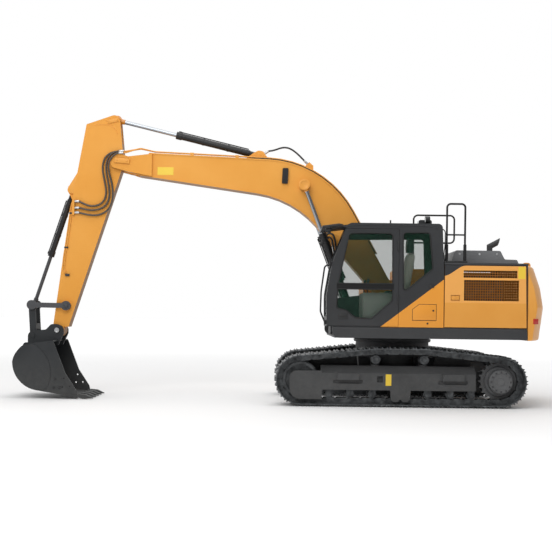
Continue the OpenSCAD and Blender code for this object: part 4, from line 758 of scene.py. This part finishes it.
# fittings bent from round bar or cable
tubeFittings = [
    dict(name="roofGutter", body="upper", paint=charcoalEnamel, slot="grey_paint", y=-1.25, radius=0.008,
         route=[(-0.93, 2.824), (-0.8, 2.848), (-0.4, 2.856), (0.1, 2.856), (0.42, 2.848), (0.55, 2.82)]),
    dict(blackTrim, name="antennaFoot", y=cabMid, radius=0.012,
         route=[(-0.144, 2.885), (-0.144, 2.94), (-0.144, 2.985)]),
    dict(name="rearCable", body="upper", paint=hoseRubber, slot="hose_rubber", y=-1.19, radius=0.008,
         route=[(0.62, 2.82), (0.665, 2.79), (0.675, 2.70), (0.672, 2.55), (0.66, 2.40), (0.672, 2.30)]),
    dict(orangeTrim, name="armTopSeam", body="arm", y=-0.1225, radius=0.006,
         route=[(-5.085, 4.60), (-4.95, 4.603), (-4.84, 4.598), (-4.77, 4.565), (-4.725, 4.515),
                (-4.70, 4.44)]),
]
for item in tubeFittings:
    bar = flatTube(item["route"], item["y"], item["radius"])
    mounted(bar, item["name"], item["body"], item["paint"])

# fittings turned on a lathe: radius, height, lip and sink, then the places and the way that they face
capFittings = [
    dict(blackTrim, name="hatchLocks", turned=(0.014, 0.006, 0.004, 0.002),
         places=[(spot(0.492, -1.253, 1.525), (0, -1, 0)), (spot(0.403, -1.25, 1.322), (0, -1, 0))]),
    dict(name="roofLampLens", body="upper", paint=lampLens, slot="glass",
         turned=(0.042, 0.012, 0.006, 0.004), places=[(spot(0.306, cabMid, 2.935), (-1, 0, 0))]),
    dict(name="bucketPinCaps", body="arm", paint=zincSteel, slot="track_steel",
         turned=(0.04, 0.008, 0.01, 0.003), places=outward(bucketPin[0], 0.212, bucketPin[1])),
    dict(name="guidePinCaps", body="arm", paint=castIron, slot="track_steel",
         turned=(0.045, 0.008, 0.01, 0.003), places=outward(guidePin[0], 0.206, guidePin[1])),
    dict(orangeTrim, name="liftPinBosses", body="boom", turned=(0.092, 0.02, 0.03, 0.006),
         places=outward(liftPin[0], 0.288, liftPin[1])),
]
for item in capFittings:
    cap = spread(turnedCap(*item["turned"]), item["places"])
    mounted(cap, item["name"], item["body"], item["paint"])
print("small fittings made")

# bright bolts along the hood's upper edge, both sides
hoodEdge = dict(half=0.85, z=2.45, stations=(0.974, 1.293, 1.573), radius=0.013, height=0.012)
places = [place for x in hoodEdge["stations"] for place in outward(x, hoodEdge["half"], hoodEdge["z"])]
bolts = spread(boltHead(hoodEdge["radius"], hoodEdge["height"]), places)
mounted(bolts, "hoodBolts", "hood", zincSteel)

# ring of bolts on each track drive's cover
hub = dict(x=1.583, z=0.412, face=1.22, ring=0.154, count=12, radius=0.011, height=0.01)
for side, name in sides:
    turns = [2 * math.pi * i / hub["count"] for i in range(hub["count"])]
    places = [(spot(hub["x"] + hub["ring"] * math.cos(a), side * hub["face"],
                    hub["z"] + hub["ring"] * math.sin(a)), (0, side, 0)) for a in turns]
    ring = spread(boltHead(hub["radius"], hub["height"]), places)
    mounted(ring, "driveBolts" + name, "undercarriage", castIron)
print("bolts made")

# bucket, mm from its pin: a rolled sheet that closes the corner of its back, and a round plate welded on
# each side
bucketSheet = dict(half=0.557, side=0.566, lap=0.001, edge=0.003, centre=(-174, -519), radius=474,
                   arc=range(186, 258, 6))
backOutside = [(-462, -242), (-505, -268), (-552, -316), (-598, -380), (-632, -448), (-649, -522)]
backInside = [(-640, -528), (-528, -432), (-560, -378), (-456, -252)]
backSheet = cutPlate(fromPin(bucketPin, backOutside + backInside), -bucketSheet["half"], bucketSheet["half"])
mounted(backSheet, "bucketBackSheet", "bucket", bucketEnamel)
turns = [math.radians(a) for a in bucketSheet["arc"]]
rim = [(bucketSheet["centre"][0] + bucketSheet["radius"] * math.cos(a),
        bucketSheet["centre"][1] + bucketSheet["radius"] * math.sin(a)) for a in turns]
front = [(-95, -975), (-52, -900), (-24, -800), (-14, -700), (-24, -600), (-55, -500), (-105, -410),
         (-175, -325), (-262, -255), (-330, -232)]
outline = fromPin(bucketPin, backOutside + rim + front)
inner = bucketSheet["half"] - bucketSheet["lap"]
sidePlates = bothSides(outline, inner, bucketSheet["side"], bucketSheet["edge"])
mounted(sidePlates, "bucketSidePlates", "bucket", bucketEnamel)
cutter = dict(half=0.565, radius=0.016, height=0.012, holes=[(60, -800), (38, -940), (130, -936)])
places = [place for x, z in fromPin(bucketPin, cutter["holes"]) for place in outward(x, cutter["half"], z)]
bolts = spread(boltHead(cutter["radius"], cutter["height"]), places)
mounted(bolts, "cutterBolts", "bucket", exhaustEnamel)

# bars that hold the pins, each with two bolts
barLook = dict(half=0.011, edge=0.01, proud=0.006, boltFace=0.016, boltReach=0.33, boltRadius=0.011,
               boltHeight=0.009)
pinBars = [
    dict(name="armTopBars", at=(-4.775, 4.672), length=0.2, height=0.068, turn=14, face=0.122, body="arm",
         paint=orangeEnamel),
    dict(name="nosePinBars", at=(-4.60, 3.985), length=0.26, height=0.085, turn=-4, face=0.219, body="boom",
         paint=orangeEnamel),
    dict(name="guidePinBars", at=guidePin, length=0.07, height=0.05, turn=-20, face=0.2065, body="arm",
         paint=linkEnamel),
]
for bar in pinBars:
    x, z = bar["at"]
    size = Vector((bar["length"] / 2, barLook["half"], bar["height"] / 2))
    slant = Matrix.Rotation(math.radians(-bar["turn"]), 4, "Y")
    reach = bar["length"] * barLook["boltReach"]
    rise = reach * math.tan(math.radians(bar["turn"]))
    ends = []
    for side, name in sides:
        block = roundedBlock(-size, size, barLook["edge"])
        block.data.transform(Matrix.Translation(spot(x, side * (bar["face"] + barLook["proud"]), z)) @ slant)
        boltY = side * (bar["face"] + barLook["boltFace"])
        places = [(spot(x + end * reach, boltY, z + end * rise), (0, side, 0)) for end in (-1, 1)]
        ends += [block, spread(boltHead(barLook["boltRadius"], barLook["boltHeight"]), places)]
    mounted(joined(ends), bar["name"], bar["body"], bar["paint"])

# arm: brackets of the bucket cylinder, and the steel lines down to it
curlBracket = dict(inner=0.09, outer=0.12, corners=[
    (-5.30, 3.905), (-5.40, 3.735), (-5.508, 3.56), (-5.522, 3.505), (-5.505, 3.455), (-5.456, 3.432),
    (-5.39, 3.45), (-5.33, 3.62)])
brackets = bothSides(curlBracket["corners"], curlBracket["inner"], curlBracket["outer"])
mounted(brackets, "curlBrackets", "arm", orangeEnamel)
steelLines = dict(radius=0.011, offsets=(0.0, 0.026), y=-0.1335, route=[
    (-5.405, 3.30), (-5.440, 3.285), (-5.462, 3.22), (-5.500, 2.95), (-5.543, 2.62), (-5.592, 2.24),
    (-5.592, 2.16), (-5.562, 2.09)])
pair = [flatTube([(x + offset, z) for x, z in steelLines["route"]], steelLines["y"], steelLines["radius"])
        for offset in steelLines["offsets"]]
mounted(joined(pair), "armSteelLines", "arm", orangeEnamel)

# black hoses bundled behind each lift cylinder, from a block on its gland
hoseBlock = dict(low=(-1.235, 2.63), high=(-1.145, 2.76), y=0.25, half=0.055, edge=0.012)
liftHoses = dict(radius=0.017, y=0.236, stagger=0.03, routes=[
    [(-1.185, 2.735), (-1.12, 2.80), (-1.05, 2.79), (-1.01, 2.70), (-0.985, 2.55), (-0.95, 2.38),
     (-0.90, 2.22), (-0.83, 2.06)],
    [(-1.175, 2.69), (-1.12, 2.735), (-1.075, 2.72), (-1.045, 2.62), (-1.015, 2.47), (-0.975, 2.32),
     (-0.915, 2.16), (-0.85, 2.02)],
    [(-1.165, 2.65), (-1.125, 2.67), (-1.10, 2.64), (-1.075, 2.54), (-1.045, 2.40), (-0.995, 2.25),
     (-0.935, 2.10), (-0.87, 1.98)]])
for side, name in sides:
    bundle = [flatTube(route, side * (liftHoses["y"] + liftHoses["stagger"] * (i % 2)), liftHoses["radius"])
              for i, route in enumerate(liftHoses["routes"])]
    inner, outer = [side * hoseBlock["y"] + step * hoseBlock["half"] for step in (-1, 1)]
    block = roundedBlock(spot(hoseBlock["low"][0], inner, hoseBlock["low"][1]),
                         spot(hoseBlock["high"][0], outer, hoseBlock["high"][1]), hoseBlock["edge"])
    mounted(joined(bundle + [block]), "liftHoses" + name, "boom_barrels", hoseRubber)

# painted shade: a dark strip under the pipes on the boom's back, in the gap between them and the boom; mm
# from its
# pin: round the bend, then straight at both ends, where head and foot give the angle at which the bend ends
# and the length of the straight
pipeShadeStrip = dict(centre=(-2138.0, 629.2), edges=(1699.0, 1715.0), head=(87.62, -300.0), foot=(29.06, 800.0),
               bend=range(87, 29, -3), y=(-0.163, -0.1))
stations = [pipeShadeStrip["head"]] + [(angle, 0.0) for angle in pipeShadeStrip["bend"]] + [pipeShadeStrip["foot"]]
outline = []
for radius, row in zip(pipeShadeStrip["edges"], (stations, stations[::-1])):
    for angle, run in row:
        across, along = math.cos(math.radians(angle)), math.sin(math.radians(angle))
        outline.append((pipeShadeStrip["centre"][0] + radius * across + run * along,
                        pipeShadeStrip["centre"][1] + radius * along - run * across))
strip = cutPlate(fromPin(boomPin, outline), *pipeShadeStrip["y"])
mounted(strip, "boomPipeShadeStrip", "boom", sealRubber)
print("bucket, arm and boom details made")

# round work lamps on the visor and on the roof, each on a bent stem
lampLook = dict(radius=0.055, depth=0.075, lip=0.008, sink=0.012, back=0.04, stem=0.012, stemFrom=0.03,
                stemBend=0.02, lens=(0.043, 0.006, 0.006, 0.002), lensFront=-0.026)
workLamps = [
    dict(name="visorLamp", at=(-1.165, -1.06, 2.80), foot=(-1.10, -1.06, 2.845)),
    dict(name="roofRearLamp", at=(0.43, -0.93, 2.985), foot=(0.47, -0.93, 2.915)),
]
ahead = (-1, 0, 0)
for item in workLamps:
    at, foot = spot(*item["at"]), spot(*item["foot"])
    shell = turnedCap(lampLook["radius"], lampLook["depth"], lampLook["lip"], lampLook["sink"])
    shell = spread(shell, [(at + Vector((lampLook["back"], 0, 0)), ahead)])
    bend = (at + foot) / 2 + Vector((lampLook["stemBend"], 0, 0))
    stem = tube([at + Vector((lampLook["stemFrom"], 0, 0)), bend, foot], lampLook["stem"])
    mounted(joined([shell, stem]), item["name"], "upper", blackPlastic)
    glass = spread(turnedCap(*lampLook["lens"]), [(at + Vector((lampLook["lensFront"], 0, 0)), ahead)])
    mounted(glass, item["name"] + "Lens", "upper", lampLens)

# trim along the visor, and the wiper on the windscreen
visor = dict(y=(-1.195, -0.385), edge=0.004, corners=[
    (-1.262, 2.826), (-1.262, 2.848), (-1.0, 2.886), (-0.93, 2.872), (-1.0, 2.838), (-1.14, 2.816)])
visorTrim = cutPlate(visor["corners"], *visor["y"], visor["edge"])
mounted(visorTrim, "visorTrim", "upper", blackPlastic)
wiperPivot = dict(radius=0.012, route=[(-1.055, -0.80, 1.75), (-1.10, -0.80, 1.72), (-1.155, -0.80, 1.70)])
wiperBlade = dict(radius=0.008, route=[(-1.16, -0.80, 1.70), (-1.125, -0.93, 2.02), (-1.085, -1.02, 2.30)])
wiper = joined([tube([spot(*point) for point in rod["route"]], rod["radius"])
                for rod in (wiperPivot, wiperBlade)])
mounted(wiper, "wiper", "upper", blackPlastic)

# sleeves and step of the rails behind the cab
rails = dict(posts=(0.717, 1.006), y=-1.10, heights=(2.29, 2.43, 2.57), radius=0.024,
             step=[((0.695, -1.20, 2.284), (1.03, -0.97, 2.318), 0.008)])
sleeves = [flatTube([(x, z) for z in rails["heights"]], rails["y"], rails["radius"]) for x in rails["posts"]]
mounted(joined(sleeves + [blockGroup(rails["step"])]), "railSleeves", "upper", blackPlastic)

# tool hatch low on the cab's side: a dark sheet in the gap round its lid as painted shade, and the lid
hatch = dict(gap=[(0.161, 1.367), (0.544, 1.367), (0.544, 1.627), (0.269, 1.627), (0.161, 1.5435)],
             lid=[(0.168, 1.374), (0.537, 1.374), (0.537, 1.620), (0.272, 1.620), (0.168, 1.540)],
             gapY=(-1.2512, -1.2488), lidY=(-1.2535, -1.249), gapEdge=0.0005, lidEdge=0.0012)
hatchGapShade = cutPlate(hatch["gap"], *hatch["gapY"], hatch["gapEdge"])
mounted(hatchGapShade, "hatchGapShade", "upper", sealRubber)
hatchLid = cutPlate(hatch["lid"], *hatch["lidY"], hatch["lidEdge"])
mounted(hatchLid, "hatchLid", "upper", panelEnamel)

# plates inside the tracks that guard the travel hoses and the tension springs, each on a ledge; dark, and
# tall enough to fill the gaps where shade lies between the tracks, as painted shade
guard = dict(low=0.50, plate=(0.680, 0.690), ledge=(0.682, 0.812), ledgeTop=0.512, ledgeIn=0.02,
             ledgeEdge=0.003, slopeFront=0.16, slopeRear=0.04,
             spans=[(-1.62, -0.62, 0.78), (0.50, 1.22, 0.80)])
guards = []
for start, end, top in guard["spans"]:
    corners = [(start, guard["low"]), (end, guard["low"]), (end - guard["slopeRear"], top),
               (start + guard["slopeFront"], top)]
    for side, name in sides:
        guards.append(cutPlate(corners, *sorted(side * y for y in guard["plate"])))
        inner, outer = sorted(side * y for y in guard["ledge"])
        ledge = roundedBlock(spot(start + guard["ledgeIn"], inner, guard["low"]),
                             spot(end - guard["ledgeIn"], outer, guard["ledgeTop"]), guard["ledgeEdge"])
        guards.append(ledge)
mounted(joined(guards), "trackInnerShadeGuards", "undercarriage", exhaustEnamel)

# red reflectors on the counterweight's corners
reflectorLook = dict(low=(-0.042, -0.05, -0.03), high=(0.042, 0.05, 0.012), edge=0.004,
                     at=(2.112, 1.23, 1.375), facing=(0.57, 0.82))
for side, name in sides:
    reflector = roundedBlock(reflectorLook["low"], reflectorLook["high"], reflectorLook["edge"])
    turn = math.atan2(side * reflectorLook["facing"][1], reflectorLook["facing"][0])
    x, y, z = reflectorLook["at"]
    reflector.data.transform(Matrix.Translation(spot(x, side * y, z)) @ Matrix.Rotation(turn, 4, "Z") @
                             Matrix.Rotation(math.radians(90), 4, "Y"))
    mounted(reflector, "reflector" + name, "upper", redPlastic)

# blank yellow patches
filmEdge = 0.0008
patches = [
    dict(name="doorPatch", low=(1.823, -1.2515, 2.042), high=(1.934, -1.249, 2.231), body="left_door"),
    dict(name="boomPatch", low=(-4.01, -0.1565, 3.763), high=(-3.74, -0.154, 3.894), body="boom"),
    dict(name="framePatch", low=(-0.235, -1.1865, 0.33), high=(-0.145, -1.184, 0.51), body="undercarriage"),
]
for patch in patches:
    film = roundedBlock(spot(*patch["low"]), spot(*patch["high"]), filmEdge, 1)
    mounted(film, patch["name"], patch["body"], yellowFilm)
print("cab details, guards, reflectors and patches made")

# studio: white floor that runs to the horizon and glows more with distance
floorLook = dict(size=400.0, drop=0.002, color="#e2e2e2", rough=0.8, shine=0.1,
                 glow=(0.02, 0.42), reach=(4.0, 22.0))
bpy.ops.mesh.primitive_plane_add(size=floorLook["size"], location=(0, 0, -floorLook["drop"]))
floor = bpy.context.object
floor.name = "studioFloor"
bpy.ops.object.transform_apply(location=True, rotation=False, scale=False)
floorMaterial, floorTree, floorCoords = startMaterial("paleFloor")
far = addNode(floorTree, "ShaderNodeVectorMath", {0: floorCoords}, operation="LENGTH")
glow = addNode(floorTree, "ShaderNodeMapRange", {
    "Value": far.outputs["Value"], "From Min": floorLook["reach"][0], "From Max": floorLook["reach"][1],
    "To Min": floorLook["glow"][0], "To Max": floorLook["glow"][1]})
floorShader = addNode(floorTree, "ShaderNodeBsdfPrincipled", {
    "Base Color": hexColor(floorLook["color"]), "Roughness": floorLook["rough"],
    "Specular IOR Level": floorLook["shine"], "Emission Color": (1, 1, 1, 1),
    "Emission Strength": glow.outputs["Result"]})
floor.data.materials.append(finishMaterial(floorMaterial, floorShader))

# sky of white card, with dark cloth behind the camera and past the machine's tail
studio = dict(dimFront=0.3, frontEdge=(-0.75, -0.3), dimRear=0.35, rearEdge=(0.35, 0.8))
world = bpy.data.worlds.new("studio")
world.use_nodes = True
sky = world.node_tree
skyCoords = addNode(sky, "ShaderNodeTexCoord").outputs["Generated"]
toward = addNode(sky, "ShaderNodeSeparateXYZ", {"Vector": skyCoords}).outputs
behind = addNode(sky, "ShaderNodeMapRange", {
    "Value": toward["Y"], "From Min": studio["frontEdge"][0], "From Max": studio["frontEdge"][1],
    "To Min": studio["dimFront"], "To Max": 1.0}, interpolation_type="SMOOTHSTEP")
beside = addNode(sky, "ShaderNodeMapRange", {
    "Value": toward["X"], "From Min": studio["rearEdge"][0], "From Max": studio["rearEdge"][1],
    "To Min": 1.0, "To Max": studio["dimRear"]}, interpolation_type="SMOOTHSTEP")
light = addNode(sky, "ShaderNodeMath", {
    0: behind.outputs["Result"], 1: beside.outputs["Result"]}, operation="MULTIPLY")
sky.nodes["Background"].inputs["Color"].default_value = (1, 1, 1, 1)
sky.links.new(light.outputs["Value"], sky.nodes["Background"].inputs["Strength"])
scene.world = world

softboxes = [
    dict(name="frontSoftbox", place=(-4.0, -13.0, 11.0), aim=(-0.5, 0, 1.8), size=9.0, power=1120.0),
    dict(name="topSoftbox", place=(0.5, -1.0, 14.0), aim=(0, 0, 1.5), size=10.0, power=600.0),
    dict(name="rearSoftbox", place=(6.0, 11.0, 9.0), aim=(0, 0, 2.0), size=8.0, power=80.0),
]
for box in softboxes:
    lamp = bpy.data.lights.new(box["name"], "AREA")
    lamp.energy = box["power"]
    lamp.size = box["size"]
    holder = bpy.data.objects.new(box["name"], lamp)
    holder.location = box["place"]
    holder.rotation_euler = (Vector(box["aim"]) - Vector(box["place"])).to_track_quat("-Z", "Y").to_euler()
    scene.collection.objects.link(holder)
scene.view_settings.view_transform = "Standard"

# camera: level with the cab's floor, square on to the machine's left side, tilted a little to the left
view = dict(place=(-0.06, -16.295, 1.4415), focal=62.4, sensor=36.0, roll=-0.74, rise=38 / 552,
            farthest=500.0)
lens = bpy.data.cameras.new("photoCamera")
lens.lens = view["focal"]
lens.sensor_width = view["sensor"]
lens.shift_y = view["rise"]
lens.clip_end = view["farthest"]
camera = bpy.data.objects.new("photoCamera", lens)
camera.location = view["place"]
camera.rotation_euler = (math.radians(90), math.radians(view["roll"]), 0)
scene.collection.objects.link(camera)
scene.camera = camera
print("studio and camera set")
